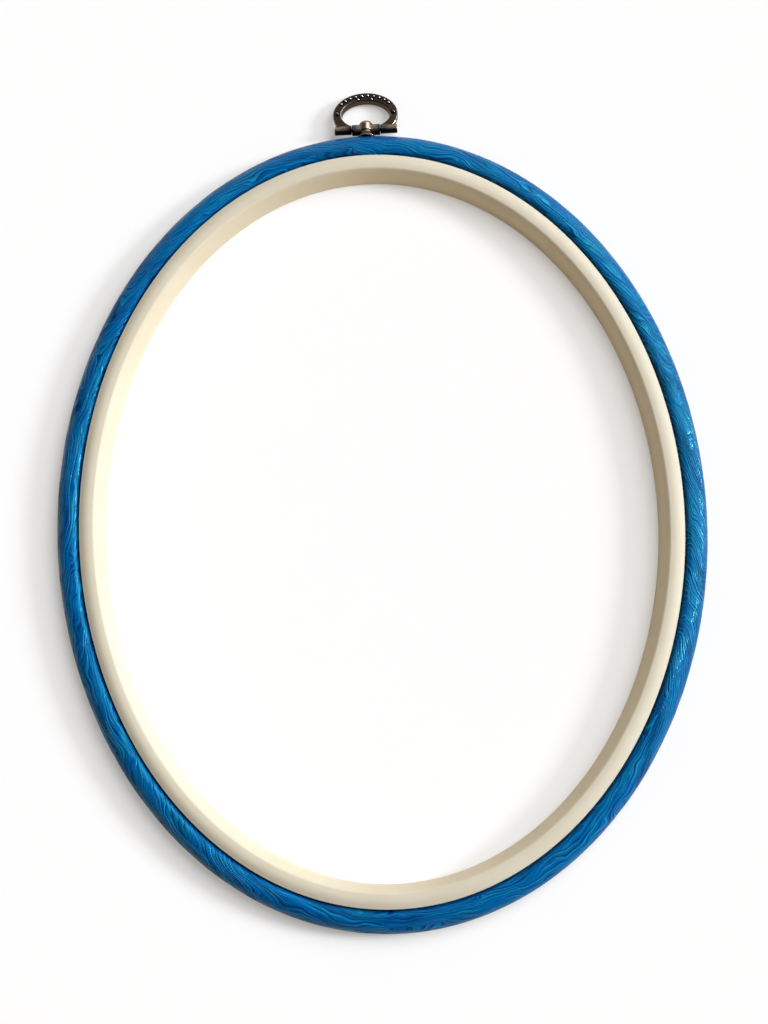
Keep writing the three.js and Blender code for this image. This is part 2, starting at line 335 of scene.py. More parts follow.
def cast_in_one(name: str, parts: list[bpy.types.Object], voxel: float, smoothing: int) -> bpy.types.Object:
    """Fuse overlapping parts into one casting with soft inner corners.

    The parts are in millimetres, because voxels can't be as small as the casting needs in metres.

    Args:
        name: The casting's name.
        parts: Closed objects, which are deleted.
        voxel: The voxel size in millimetres.
        smoothing: How many times the surface is smoothed.

    Returns:
        The casting, still in millimetres.
    """
    shape = bmesh.new()
    for part in parts:
        shape.from_mesh(part.data)
    mesh = bpy.data.meshes.new(name)
    shape.to_mesh(mesh)
    shape.free()
    for part in parts:
        discard(part)
    casting = add_object(name, mesh)
    fused = casting.modifiers.new("fused", "REMESH")
    fused.mode = "VOXEL"
    fused.voxel_size = voxel
    softened = casting.modifiers.new("softened", "SMOOTH")
    softened.iterations = smoothing
    return settle(casting)


def thin_out(piece: bpy.types.Object, share: float) -> bpy.types.Object:
    """Keep only the triangles that a piece's shape needs most.

    Args:
        piece: The piece.
        share: The share of its triangles that stays.

    Returns:
        The same piece.
    """
    fewer = piece.modifiers.new("fewer", "DECIMATE")
    fewer.ratio = share
    return settle(piece)


def store(piece: bpy.types.Object, name: str, values: np.ndarray) -> None:
    """Keep one number for each point of a piece, for its material to read."""
    attribute = piece.data.attributes.new(name, "FLOAT", "POINT")
    attribute.data.foreach_set("value", values.astype(np.float32).ravel())


def read_points(piece: bpy.types.Object, name: str) -> np.ndarray:
    """Read a vector of each point of a piece.

    Args:
        piece: The piece.
        name: "co" for where a point is, or "normal" for the way it faces.

    Returns:
        The vectors, one row each.
    """
    values = np.empty(len(piece.data.vertices) * 3, np.float32)
    piece.data.vertices.foreach_get(name, values)
    return values.reshape(-1, 3).astype(float)


def store_wear(piece: bpy.types.Object, rounds: int = 3, full: float = 97) -> None:
    """Keep how far each point stands out from its neighbours, from 0 in a corner to 1 on an edge.

    Args:
        piece: The piece whose mesh gets the attribute "wear".
        rounds: How many times the result is averaged with its neighbours'.
        full: The percentage of points that are less sharp than a fully worn edge.
    """
    mesh = piece.data
    points = read_points(piece, "co")
    normals = read_points(piece, "normal")
    edges = np.empty(len(mesh.edges) * 2, np.int32)
    mesh.edges.foreach_get("vertices", edges)
    one, other = edges.reshape(-1, 2).T
    count = np.bincount(one, minlength=len(points)) + np.bincount(other, minlength=len(points))
    gap = points[other] - points[one]
    length = np.maximum(np.linalg.norm(gap, axis=1), TINY)
    rise = np.bincount(one, -(gap * normals[one]).sum(1) / length, len(points))
    rise += np.bincount(other, (gap * normals[other]).sum(1) / length, len(points))
    wear = rise / np.maximum(count, 1)
    for _ in range(rounds):
        around = np.bincount(one, wear[other], len(points)) + np.bincount(other, wear[one], len(points))
        wear = (wear + around / np.maximum(count, 1)) / 2
    spread = np.percentile(np.abs(wear), full) or 1.0
    store(piece, "wear", np.clip(0.5 + 0.5 * wear / spread, 0, 1))


@dataclass(frozen=True)
class Speckle:
    """How a soft noise looks: its swells in a length of 1, its finer layers and how much each one counts."""

    scale: float
    detail: float
    rough: float


@dataclass(frozen=True)
class Ramp:
    """A smooth way from one level to another while a number goes from low to high."""

    low: float
    high: float
    start: float = 0.0
    end: float = 1.0


class Nodes:
    """A node tree, with short ways to add and join its nodes."""

    def __init__(self, tree: bpy.types.NodeTree) -> None:
        """Take a node tree to work on."""
        self.tree = tree

    def add(self, kind: str, **settings: Any) -> bpy.types.Node:
        """Add a node.

        Args:
            kind: The node's type.
            settings: Values for its properties.

        Returns:
            The new node.
        """
        node = self.tree.nodes.new(kind)
        for name, value in settings.items():
            setattr(node, name, value)
        return node

    def feed(self, source: Any, target: Socket) -> None:
        """Join an output to an input, or set the input.

        Args:
            source: An output, or a plain number or colour.
            target: The input.
        """
        if isinstance(source, bpy.types.NodeSocket):
            self.tree.links.new(source, target)
        elif isinstance(source, tuple):
            target.default_value = (*source, 1.0) if len(source) == 3 and target.type == "RGBA" else source
        else:
            target.default_value = source

    def kept(self, name: str) -> Socket:
        """A number that the mesh holds for each point."""
        return self.add("ShaderNodeAttribute", attribute_name=name).outputs["Fac"]

    def place(self) -> Socket:
        """The place on the piece, in metres."""
        return self.add("ShaderNodeTexCoord").outputs["Object"]

    def vector(self, operation: str, one: Any, other: Any = None) -> bpy.types.Node:
        """Work with vectors.

        Args:
            operation: What a Vector Math node does with them.
            one: The first vector.
            other: The second vector, where there is one.

        Returns:
            The node, whose outputs hold the result.
        """
        node = self.add("ShaderNodeVectorMath", operation=operation)
        self.feed(one, node.inputs[0])
        if other is not None:
            self.feed(other, node.inputs[1])
        return node

    def noise(self, place: Socket, look: Speckle) -> Socket:
        """Read soft noise.

        Args:
            place: Where it is read.
            look: How it looks.

        Returns:
            The noise, between about 0.2 and 0.8.
        """
        node = self.add("ShaderNodeTexNoise")
        self.feed(place, node.inputs["Vector"])
        node.inputs["Scale"].default_value = look.scale
        node.inputs["Detail"].default_value = look.detail
        node.inputs["Roughness"].default_value = look.rough
        return node.outputs["Fac"]

    def join(self, operation: str, *numbers: Any) -> Socket:
        """Work with numbers.

        Args:
            operation: What a Math node does with them.
            numbers: The numbers.

        Returns:
            The result.
        """
        node = self.add("ShaderNodeMath", operation=operation)
        for number, target in zip(numbers, node.inputs):
            self.feed(number, target)
        return node.outputs[0]

    def spread(self, value: Any, ramp: Ramp) -> Socket:
        """Carry a number along a ramp.

        Args:
            value: The number.
            ramp: The ramp, which holds the number at its ends.

        Returns:
            The level that the number gets.
        """
        node = self.add("ShaderNodeMapRange", interpolation_type="SMOOTHSTEP")
        self.feed(value, node.inputs["Value"])
        node.inputs["From Min"].default_value = ramp.low
        node.inputs["From Max"].default_value = ramp.high
        node.inputs["To Min"].default_value = ramp.start
        node.inputs["To Max"].default_value = ramp.end
        return node.outputs["Result"]

    def blend(self, share: Any, one: Any, other: Any) -> Socket:
        """Mix two colours.

        Args:
            share: 0 for the first alone, 1 for the second alone.
            one: The first.
            other: The second.

        Returns:
            The mixed colour.
        """
        node = self.add("ShaderNodeMix", data_type="RGBA")
        self.feed(share, node.inputs["Factor"])
        self.feed(one, node.inputs[MIX_FIRST])
        self.feed(other, node.inputs[MIX_SECOND])
        return node.outputs[MIX_RESULT]

    def seen(self) -> Socket:
        """Tell the rays that show a surface from those that only gather light on a matt one.

        Returns:
            1 for rays from the camera, from gloss and through glass, and 0 for the others.
        """
        path = self.add("ShaderNodeLightPath")
        gloss = self.join("MAXIMUM", path.outputs["Is Camera Ray"], path.outputs["Is Glossy Ray"])
        return self.join("MAXIMUM", gloss, path.outputs["Is Transmission Ray"])


class Paint(Nodes):
    """A procedural material and its shader."""

    def __init__(self, name: str, roughness: float, metallic: float) -> None:
        """Start a material.

        Args:
            name: The material's name.
            roughness: The shader's roughness where no node drives it.
            metallic: 1 for bare metal, 0 for anything else.
        """
        self.material = bpy.data.materials.new(name)
        self.material.use_nodes = True
        super().__init__(self.material.node_tree)
        self.shader = self.tree.nodes["Principled BSDF"]
        self.give("Roughness", roughness)
        self.give("Metallic", metallic)

    def give(self, name: str, source: Any) -> None:
        """Set one of the shader's inputs, or drive it by an output."""
        self.feed(source, self.shader.inputs[name])

    def bump(self, height: Any, depth: float) -> None:
        """Drive the shader's normal by a height.

        Args:
            height: The height.
            depth: How far a height of 1 stands above a height of 0, in metres.
        """
        node = self.add("ShaderNodeBump")
        self.feed(height, node.inputs["Height"])
        node.inputs["Distance"].default_value = depth
        self.give("Normal", node.outputs["Normal"])

    def dress(self, piece: bpy.types.Object) -> None:
        """Give a piece this material and no other."""
        piece.data.materials.clear()
        piece.data.materials.append(self.material)


@dataclass(frozen=True)
class CreamPlastic:
    """Satin cream moulding: a near-even colour with faint cloudy warmth, tiny flecks and a soft skin."""

    light: Colour = (0.665, 0.620, 0.502)
    warm: Colour = (0.650, 0.600, 0.476)
    cloud: Speckle = Speckle(55, 3, 0.5)
    cloud_share: Ramp = Ramp(0.35, 0.68)
    fleck: Colour = (0.46, 0.40, 0.30)
    flecks: Speckle = Speckle(1100, 1, 0.4)
    fleck_share: Ramp = Ramp(0.765, 0.82, 0, 0.4)
    rub: Speckle = Speckle(300, 4, 0.6)
    roughness: Ramp = Ramp(0.3, 0.7, 0.40, 0.52)
    gloss: float = 0.15
    glow_share: float = 0.30
    glow_depth: float = 1.6 * MM
    glow_colour: Colour = (1.0, 0.62, 0.35)
    skin: Speckle = Speckle(1800, 3, 0.6)
    skin_depth: float = 0.008 * MM

    def paint(self) -> Paint:
        """Make the material.

        Returns:
            The new material.
        """
        paint = Paint("cream_plastic", self.roughness.start, 0.0)
        place = paint.place()
        warmth = paint.spread(paint.noise(place, self.cloud), self.cloud_share)
        specks = paint.spread(paint.noise(place, self.flecks), self.fleck_share)
        paint.give("Base Color", paint.blend(specks, paint.blend(warmth, self.light, self.warm), self.fleck))
        paint.give("Roughness", paint.spread(paint.noise(place, self.rub), self.roughness))
        paint.give("Specular IOR Level", self.gloss)
        paint.give("Subsurface Weight", self.glow_share)
        paint.give("Subsurface Radius", self.glow_colour)
        paint.give("Subsurface Scale", self.glow_depth)
        paint.bump(paint.noise(place, self.skin), self.skin_depth)
        return paint


@dataclass(frozen=True)
class GrainLines:
    """Thin lines that follow the fibres side by side.

    The gap is the distance from one line to the next, and the other numbers are shares: how much of half the
    gap a line takes, and how much of a gap the lines stand aside and stray from their even places.
    """

    gap: float
    width: float
    shift: float
    unrest: float


@dataclass(frozen=True)
class GrainedVinyl:
    """Blue vinyl with an embossed wood grain: engraved lines, paler fibres between them and a broken gloss.

    The mesh holds the coarse grain as "relief" and the distance across the fibres as "across". The paler
    ridges are partly the grain's own colour and partly a painted highlight standing for the small glints along
    them.
    """

    groove: Colour = (0.0001, 0.016, 0.095)
    middle: Colour = (0.0003, 0.122, 0.390)
    teal: Colour = (0.0005, 0.162, 0.370)
    # Paler ridge colour, partly the grain's own and partly a painted highlight.
    ridge: Colour = (0.0020, 0.330, 0.640)
    shine: Colour = (0.12, 0.92, 1.0)
    grooves: GrainLines = GrainLines(1.15 * MM, 0.50, 0.0, 0.6)
    ridges: GrainLines = GrainLines(1.15 * MM, 0.34, 0.38, 0.6)
    fibres: GrainLines = GrainLines(0.70 * MM, 0.55, 0.5, 1.5)
    hairs: GrainLines = GrainLines(0.42 * MM, 0.60, 0.25, 2.0)
    groove_shade: float = 0.90
    fibre_shade: float = 0.70
    hair_shade: float = 0.50
    groove_rise: float = -0.8
    hair_rise: float = -0.25
    ridge_rise: float = 0.4
    streak_rough: float = 0.5
    line_detail: float = 1
    patch_detail: float = 2
    stray_width: float = 3.0
    stray_shift: float = 5.0
    come_width: float = 0.8
    come_shift: float = 51.0
    come_share: Ramp = Ramp(0.36, 0.58, 0.12, 1)
    fibre_length: float = 12.0 * MM
    fibre_depth: float = 0.10 * MM
    patch_width: float = 3.0 * MM
    patch_shift: float = 13.0
    patch_shade: Ramp = Ramp(0.34, 0.48, 0.45, 0)
    pale_ridge_and_sheen_share: Ramp = Ramp(0.42, 0.60, 0.06, 0.60)
    tint_shift: float = 29.0
    teal_share: Ramp = Ramp(0.50, 0.66, 0, 0.8)
    relief_shade: Ramp = Ramp(0.10, 0.60, 0.5, 0)
    rub_width: float = 1.6 * MM
    rub_length: float = 0.6
    rub_shift: float = 71.0
    roughness: Ramp = Ramp(0.38, 0.52, 0.52, 0.15)
    pits: Speckle = Speckle(1500, 2, 0.5)
    pit_rise: float = 0.5
    gloss: float = 0.50

    def streaks(self, paint: Paint, width: float, length: float, detail: float, shift: float) -> Socket:
        """Noise that is long along the grain and narrow across it.

        Args:
            paint: The material.
            width: How wide one swell is across the grain.
            length: How long it is along the grain.
            detail: How many finer layers are added.
            shift: A step aside, so that two such noises differ.

        Returns:
            The noise as one number near 0.5.
        """
        along = paint.vector("MULTIPLY", paint.place(), (1 / length, 1 / length, 0.0)).outputs[0]
        across = paint.add("ShaderNodeCombineXYZ")
        paint.feed(paint.join("MULTIPLY_ADD", paint.kept("across"), 1 / width, shift), across.inputs["Z"])
        both = paint.vector("ADD", along, across.outputs[0]).outputs[0]
        return paint.noise(both, Speckle(1, detail, self.streak_rough))

    def lines(self, paint: Paint, kind: GrainLines) -> Socket:
        """Lines that come and go along their length: 1 on a line and 0 away from it.

        Args:
            paint: The material.
            kind: Which lines they are.

        Returns:
            The lines as one number.
        """
        wide, wide_shift = self.stray_width * kind.gap, self.stray_shift + kind.shift
        narrow, narrow_shift = self.come_width * kind.gap, self.come_shift + kind.shift
        sway = self.streaks(paint, wide, self.fibre_length, self.line_detail, wide_shift)
        step = paint.join("MULTIPLY_ADD", paint.kept("across"), 1 / kind.gap, kind.shift)
        place = paint.join("ADD", step, paint.join("MULTIPLY", sway, kind.unrest))
        line = paint.spread(paint.join("PINGPONG", place, 0.5), Ramp(0, 0.5 * kind.width, 1, 0))
        come = self.streaks(paint, narrow, self.fibre_length, self.line_detail, narrow_shift)
        return paint.join("MULTIPLY", line, paint.spread(come, self.come_share))

    def paint(self) -> Paint:
        """Make the material.

        Returns:
            The new material.
        """
        paint = Paint("grained_vinyl", self.roughness.end, 0.0)
        grooves, ridges, fibres, hairs = (
            self.lines(paint, kind) for kind in (self.grooves, self.ridges, self.fibres, self.hairs)
        )
        patch = self.streaks(
            paint, self.patch_width, 2 * self.fibre_length, self.patch_detail, self.patch_shift,
        )
        tint = self.streaks(paint, self.patch_width, self.fibre_length, self.patch_detail, self.tint_shift)
        colour = paint.blend(paint.spread(tint, self.teal_share), self.middle, self.teal)
        for shade in (
            paint.spread(paint.kept("relief"), self.relief_shade),
            paint.spread(patch, self.patch_shade),
            paint.join("MULTIPLY", hairs, self.hair_shade),
            paint.join("MULTIPLY", fibres, self.fibre_shade),
            paint.join("MULTIPLY", grooves, self.groove_shade),
        ):
            colour = paint.blend(shade, colour, self.groove)
        # Paler ridges in patches: partly the grain's own colour, partly a painted highlight standing for
        # glints.
        worn = paint.join("MULTIPLY", ridges, paint.spread(patch, self.pale_ridge_and_sheen_share))
        paint.give("Base Color", paint.blend(worn, colour, self.ridge))
        rub_length = self.rub_length * self.fibre_length
        rub = self.streaks(paint, self.rub_width, rub_length, self.patch_detail, self.rub_shift)
        paint.give("Roughness", paint.spread(rub, self.roughness))
        paint.give("Specular IOR Level", self.gloss)
        paint.give("Specular Tint", self.shine)
        height = paint.join("MULTIPLY", grooves, self.groove_rise)
        height = paint.join("ADD", height, paint.join("MULTIPLY", hairs, self.hair_rise))
        height = paint.join("ADD", height, paint.join("MULTIPLY", ridges, self.ridge_rise))
        pits = paint.join("MULTIPLY", paint.noise(paint.place(), self.pits), self.pit_rise)
        paint.bump(paint.join("ADD", height, pits), self.fibre_depth)
        return paint


@dataclass(frozen=True)
class AgedMetal:
    """Dark antique plating on a zinc casting, brown-black in its corners and rubbed bright on its edges.

    The mesh holds its edges and corners as "wear" and painted light as "polish": lighter plating near the
    hinge axis, except where the parts face the hoop, standing for a bright reflection. It holds painted shade
    as "soot": dark round the bail's beads and in the grooves beside the knuckle.
    """

    deep: Colour = (0.004, 0.007, 0.018)
    plated: Colour = (0.072, 0.050, 0.034)
    # The lighter plating of the painted lit side.
    lit_plating: Colour = (0.290, 0.225, 0.165)
    rubbed: Colour = (0.760, 0.700, 0.620)
    cloud: Speckle = Speckle(900, 4, 0.6)
    cloud_share: float = 0.5
    # How much the painted shade also counts as a corner.
    painted_shade_share: float = 0.5
    corner_shade: Ramp = Ramp(0.20, 0.50, 1, 0)
    edge_shine: Ramp = Ramp(0.74, 1.02, 0, 0.85)
    roughness: Ramp = Ramp(0.3, 0.9, 0.30, 0.16)
    pits: Speckle = Speckle(3200, 3, 0.6)
    pit_depth: float = 0.02 * MM

    def paint(self) -> Paint:
        """Make the material.

        Returns:
            The new material.
        """
        paint = Paint("aged_metal", self.roughness.end, 1.0)
        place = paint.place()
        cloud = paint.join("SUBTRACT", paint.noise(place, self.cloud), 0.5)
        worn = paint.join("ADD", paint.kept("wear"), paint.join("MULTIPLY", cloud, self.cloud_share))
        # Painted shade counts as a corner: it darkens and roughens, and keeps the edges' shine off.
        worn = paint.join("MULTIPLY_ADD", paint.kept("painted_shade"), -self.painted_shade_share, worn)
        # Painted light: lighter plating where the parts near the hinge face away from the hoop.
        colour = paint.blend(paint.kept("painted_lit_side"), self.plated, self.lit_plating)
        # Painted shade round the beads and in the hinge grooves.
        colour = paint.blend(paint.kept("painted_shade"), colour, self.deep)
        colour = paint.blend(paint.spread(worn, self.corner_shade), colour, self.deep)
        paint.give("Base Color", paint.blend(paint.spread(worn, self.edge_shine), colour, self.rubbed))
        paint.give("Roughness", paint.spread(worn, self.roughness))
        paint.bump(paint.noise(place, self.pits), self.pit_depth)
        return paint


@dataclass(frozen=True)
class PlatedSteel:
    """Plain zinc plating with fine turning marks and a few dull spots."""

    bright: Colour = (0.60, 0.59, 0.57)
    dull: Colour = (0.36, 0.35, 0.34)
    spots: Speckle = Speckle(700, 4, 0.65)
    spot_share: Ramp = Ramp(0.45, 0.70)
    roughness: Ramp = Ramp(0, 1, 0.26, 0.46)
    marks: Speckle = Speckle(900, 2, 0.5)
    mark_stretch: float = 18.0
    mark_depth: float = 0.006 * MM

    def paint(self) -> Paint:
        """Make the material.

        Returns:
            The new material.
        """
        paint = Paint("plated_steel", self.roughness.start, 1.0)
        place = paint.place()
        dull = paint.spread(paint.noise(place, self.spots), self.spot_share)
        paint.give("Base Color", paint.blend(dull, self.bright, self.dull))
        paint.give("Roughness", paint.spread(dull, self.roughness))
        turned_place = paint.vector("MULTIPLY", place, (1.0, self.mark_stretch, 1.0)).outputs[0]
        paint.bump(paint.noise(turned_place, self.marks), self.mark_depth)
        return paint


@dataclass(frozen=True)
class Oval:
    """The oval that the lip's outer edge follows, on the XY plane."""

    half_width: float
    half_length: float
    middle_y: float
    path_runs: int = 20000

    def walk(self, steps: int) -> tuple[np.ndarray, np.ndarray, np.ndarray]:
        """Walk once round the oval at an even pace.

        Args:
            steps: Number of stops.

        Returns:
            The stops, the outward direction at each, and the distance walked to each, with the whole way
            round as one more distance at the end.
        """
        turn = np.linspace(0, 2 * np.pi, self.path_runs + 1)
        path = np.column_stack([self.half_width * np.cos(turn), self.half_length * np.sin(turn)])
        walked = np.concatenate([[0], np.cumsum(np.linalg.norm(np.diff(path, axis=0), axis=1))])
        distance = np.linspace(0, walked[-1], steps + 1)
        turn = np.interp(distance[:-1], walked, turn)
        stops = np.column_stack([self.half_width * np.cos(turn), self.half_length * np.sin(turn)])
        stops[:, 1] += self.middle_y
        outward = np.column_stack([np.cos(turn) / self.half_width, np.sin(turn) / self.half_length])
        outward /= np.linalg.norm(outward, axis=1)[:, None]
        return stops, outward, distance

    def ring(self, outline: np.ndarray, steps: int) -> np.ndarray:
        """Carry an outline round the oval.

        Args:
            outline: Its (u, height) points.
            steps: Number of stops.

        Returns:
            The points, as an array of stops, outline points and 3.
        """
        stops, outward, _ = self.walk(steps)
        flat = stops[:, None, :] + outward[:, None, :] * outline[None, :, :1]
        height = np.broadcast_to(outline[None, :, 1:], (steps, len(outline), 1))
        return np.concatenate([flat, height], 2)


@dataclass(frozen=True)
class PaleFloor:
    """Matt pale studio paper: plain white to the camera, and warmer in the light it throws back.

    It throws back more light inside the hoop than outside it.
    """

    oval: Oval
    colour: Colour = (0.66, 0.66, 0.66)
    clouded: Colour = (0.65, 0.65, 0.65)
    cloud: Speckle = Speckle(40, 3, 0.6)
    bounce: Colour = (1.2, 1.04, 0.80)
    dim_bounce: Colour = (0.12, 0.11, 0.10)
    outside: Ramp = Ramp(0.95, 1.05)
    glow: float = 0.30
    roughness: float = 0.9

    def paint(self) -> Paint:
        """Make the material.

        Returns:
            The new material.
        """
        paint = Paint("studio_paper", self.roughness, 0.0)
        matt_ray = paint.add("ShaderNodeLightPath").outputs["Is Diffuse Ray"]
        middle = paint.vector("SUBTRACT", paint.place(), (0.0, self.oval.middle_y, 0.0)).outputs[0]
        scale = (1 / self.oval.half_width, 1 / self.oval.half_length, 0.0)
        away = paint.vector("LENGTH", paint.vector("MULTIPLY", middle, scale).outputs[0]).outputs["Value"]
        bounce = paint.blend(paint.spread(away, self.outside), self.bounce, self.dim_bounce)
        plain = paint.blend(paint.noise(paint.place(), self.cloud), self.colour, self.clouded)
        paint.give("Base Color", paint.blend(matt_ray, plain, bounce))
        paint.give("Specular IOR Level", 0.0)
        paint.give("Emission Color", (1.0, 1.0, 1.0))
        paint.give("Emission Strength", paint.join("MULTIPLY", paint.seen(), self.glow))
        return paint


def eased(share: np.ndarray) -> np.ndarray:
    """A share that leaves 0 and comes to 1 without a jolt."""
    return share * share * share * (share * (6 * share - 15) + 10)


@dataclass(frozen=True)
class RingNoise:
    """Soft noise over the distance round a ring and a distance across it, which joins up after one turn."""

    way_round: float
    along: float
    across: float
    seed: int
    rows: int = 97
    reach: float = 1.5

    def __call__(self, walked: np.ndarray, beside: np.ndarray) -> np.ndarray:
        """Read the noise.

        Args:
            walked: Distances round the ring.
            beside: Distances across it, of the same shape.

        Returns:
            Numbers between about -1 and 1.
        """
        columns = max(2, round(self.way_round / self.along))
        turn = np.random.default_rng(self.seed).uniform(0, 2 * np.pi, (columns, self.rows))
        x, y = walked / self.way_round * columns, beside / self.across
        left, low = np.floor(x).astype(int), np.floor(y).astype(int)
        fx, fy = x - left, y - low
        sx, sy = eased(fx), eased(fy)

        def corner(dx: int, dy: int) -> np.ndarray:
            """The slope of one grid corner, as seen from each point."""
            lean = turn[(left + dx) % columns, (low + dy) % self.rows]
            return np.cos(lean) * (fx - dx) + np.sin(lean) * (fy - dy)

        lower = corner(0, 0) * (1 - sx) + corner(1, 0) * sx
        upper = corner(0, 1) * (1 - sx) + corner(1, 1) * sx
        return self.reach * (lower * (1 - sy) + upper * sy)


@dataclass(frozen=True)
class Swell:
    """One kind of soft swell: how long and how wide it is, how deep it goes, and the seed of its draws."""

    along: float
    across: float
    depth: float
    seed: int

    def over(self, way_round: float, walked: np.ndarray, beside: np.ndarray) -> np.ndarray:
        """The swell's depth at places round a ring and across it."""
        return self.depth * RingNoise(way_round, self.along, self.across, self.seed)(walked, beside)


@dataclass(frozen=True)
class WoodGrain:
    """An embossed grain whose fibres run along the ring at a slant and bend round knots and arches.

    The ranges that the knots' sizes are drawn from are in millimetres.
    """

    way_round: float
    line_gap: float = 1.15 * MM
    slant: float = 0.34
    second_slant: float = 0.20
    flows: tuple[Swell, ...] = (
        Swell(66 * MM, 40 * MM, 7.0 * MM, 7),
        Swell(15 * MM, 7 * MM, 1.9 * MM, 8),
        Swell(5 * MM, 3 * MM, 0.62 * MM, 9),
    )
    knots: int = 84
    knot_seed: int = 13
    knot_low: float = 8.5 * MM
    knot_high: float = 21.5 * MM
    knot_width: tuple[float, float] = (0.7, 1.6)
    knot_blunt: tuple[float, float] = (1.5, 3.0)
    knot_tail: tuple[float, float] = (5, 11)
    knot_push: tuple[float, float] = (1.0, 2.0)
    face_level: float = 0.70
    broad: Swell = Swell(16 * MM, 2.4 * MM, 0.26, 10)
    come: Swell = Swell(12 * MM, 1.8 * MM, 1.0, 11)
    come_level: float = 0.6
    line_depth: float = 0.50
    line_limit: float = 1.5
    line_fade: float = 4.0

    def knot_swell(self, walked: np.ndarray, beside: np.ndarray) -> np.ndarray:
        """How far the knots push the fibres aside. Each knot is blunt at one end and runs out at the other.

        Args:
            walked: Distances round the ring.
            beside: Distances across its face, of the same shape.

        Returns:
            Distances in metres.
        """
        draw = np.random.default_rng(self.knot_seed)
        push = np.zeros_like(walked)
        for knot in range(self.knots):
            middle = (knot + draw.uniform(0, 1)) / self.knots * self.way_round
            side = draw.uniform(self.knot_low, self.knot_high)
            width = draw.uniform(*self.knot_width) * MM
            blunt = draw.uniform(*self.knot_blunt) * MM
            tail = draw.uniform(*self.knot_tail) * MM
            ends = (blunt, tail) if draw.uniform() < 0.5 else (tail, blunt)
            rise = draw.choice([-1, 1]) * draw.uniform(*self.knot_push) * width
            off = (walked - middle + self.way_round / 2) % self.way_round - self.way_round / 2
            length = np.where(off < 0, *ends)
            push += rise * np.exp(-((off / length) ** 2) - ((beside - side) / width) ** 2)
        return push

    def across_fibres(self, walked: np.ndarray, beside: np.ndarray) -> np.ndarray:
        """The distance across the fibres, which stays the same along each of them.

        Args:
            walked: Distances round the ring.
            beside: Distances across its face, of the same shape.

        Returns:
            Distances in metres.
        """
        turn = 2 * np.pi * walked / self.way_round
        lean = self.slant * np.sin(turn) + self.second_slant / 2 * np.sin(2 * turn)
        flow = sum(swell.over(self.way_round, walked, beside) for swell in self.flows)
        flow = flow - self.way_round / (2 * np.pi) * lean
        return beside + flow + self.knot_swell(walked, beside)

    def relief(self, walked: np.ndarray, across: np.ndarray) -> np.ndarray:
        """The coarse grain's height. Lines closer together than the mesh can show are left flat.

        Args:
            walked: Distances round the ring, one row for each stop.
            across: Distances across the fibres, of the same shape.

        Returns:
            Numbers from 0 at the bottom of a groove to 1 on a ridge.
        """
        broad = self.broad.over(self.way_round, walked, across)
        come = self.come.over(self.way_round, walked, across)
        step = np.abs(np.gradient(across, axis=1)) / self.line_gap
        shown = np.clip(self.line_limit - self.line_fade * step, 0, 1) * np.clip(self.come_level + come, 0, 1)
        line = (0.5 + 0.5 * np.cos(2 * np.pi * across / self.line_gap)) ** 2
        return np.clip(self.face_level + broad - self.line_depth * line * shown, 0, 1)


@dataclass(frozen=True)
class Seat:
    """What the outer hoop and the hanger's post both need to know of each other, in millimetres."""

    foot_diameter: float = 5.9
    foot_sink: float = 0.3
    pocket_depth: float = 2.0


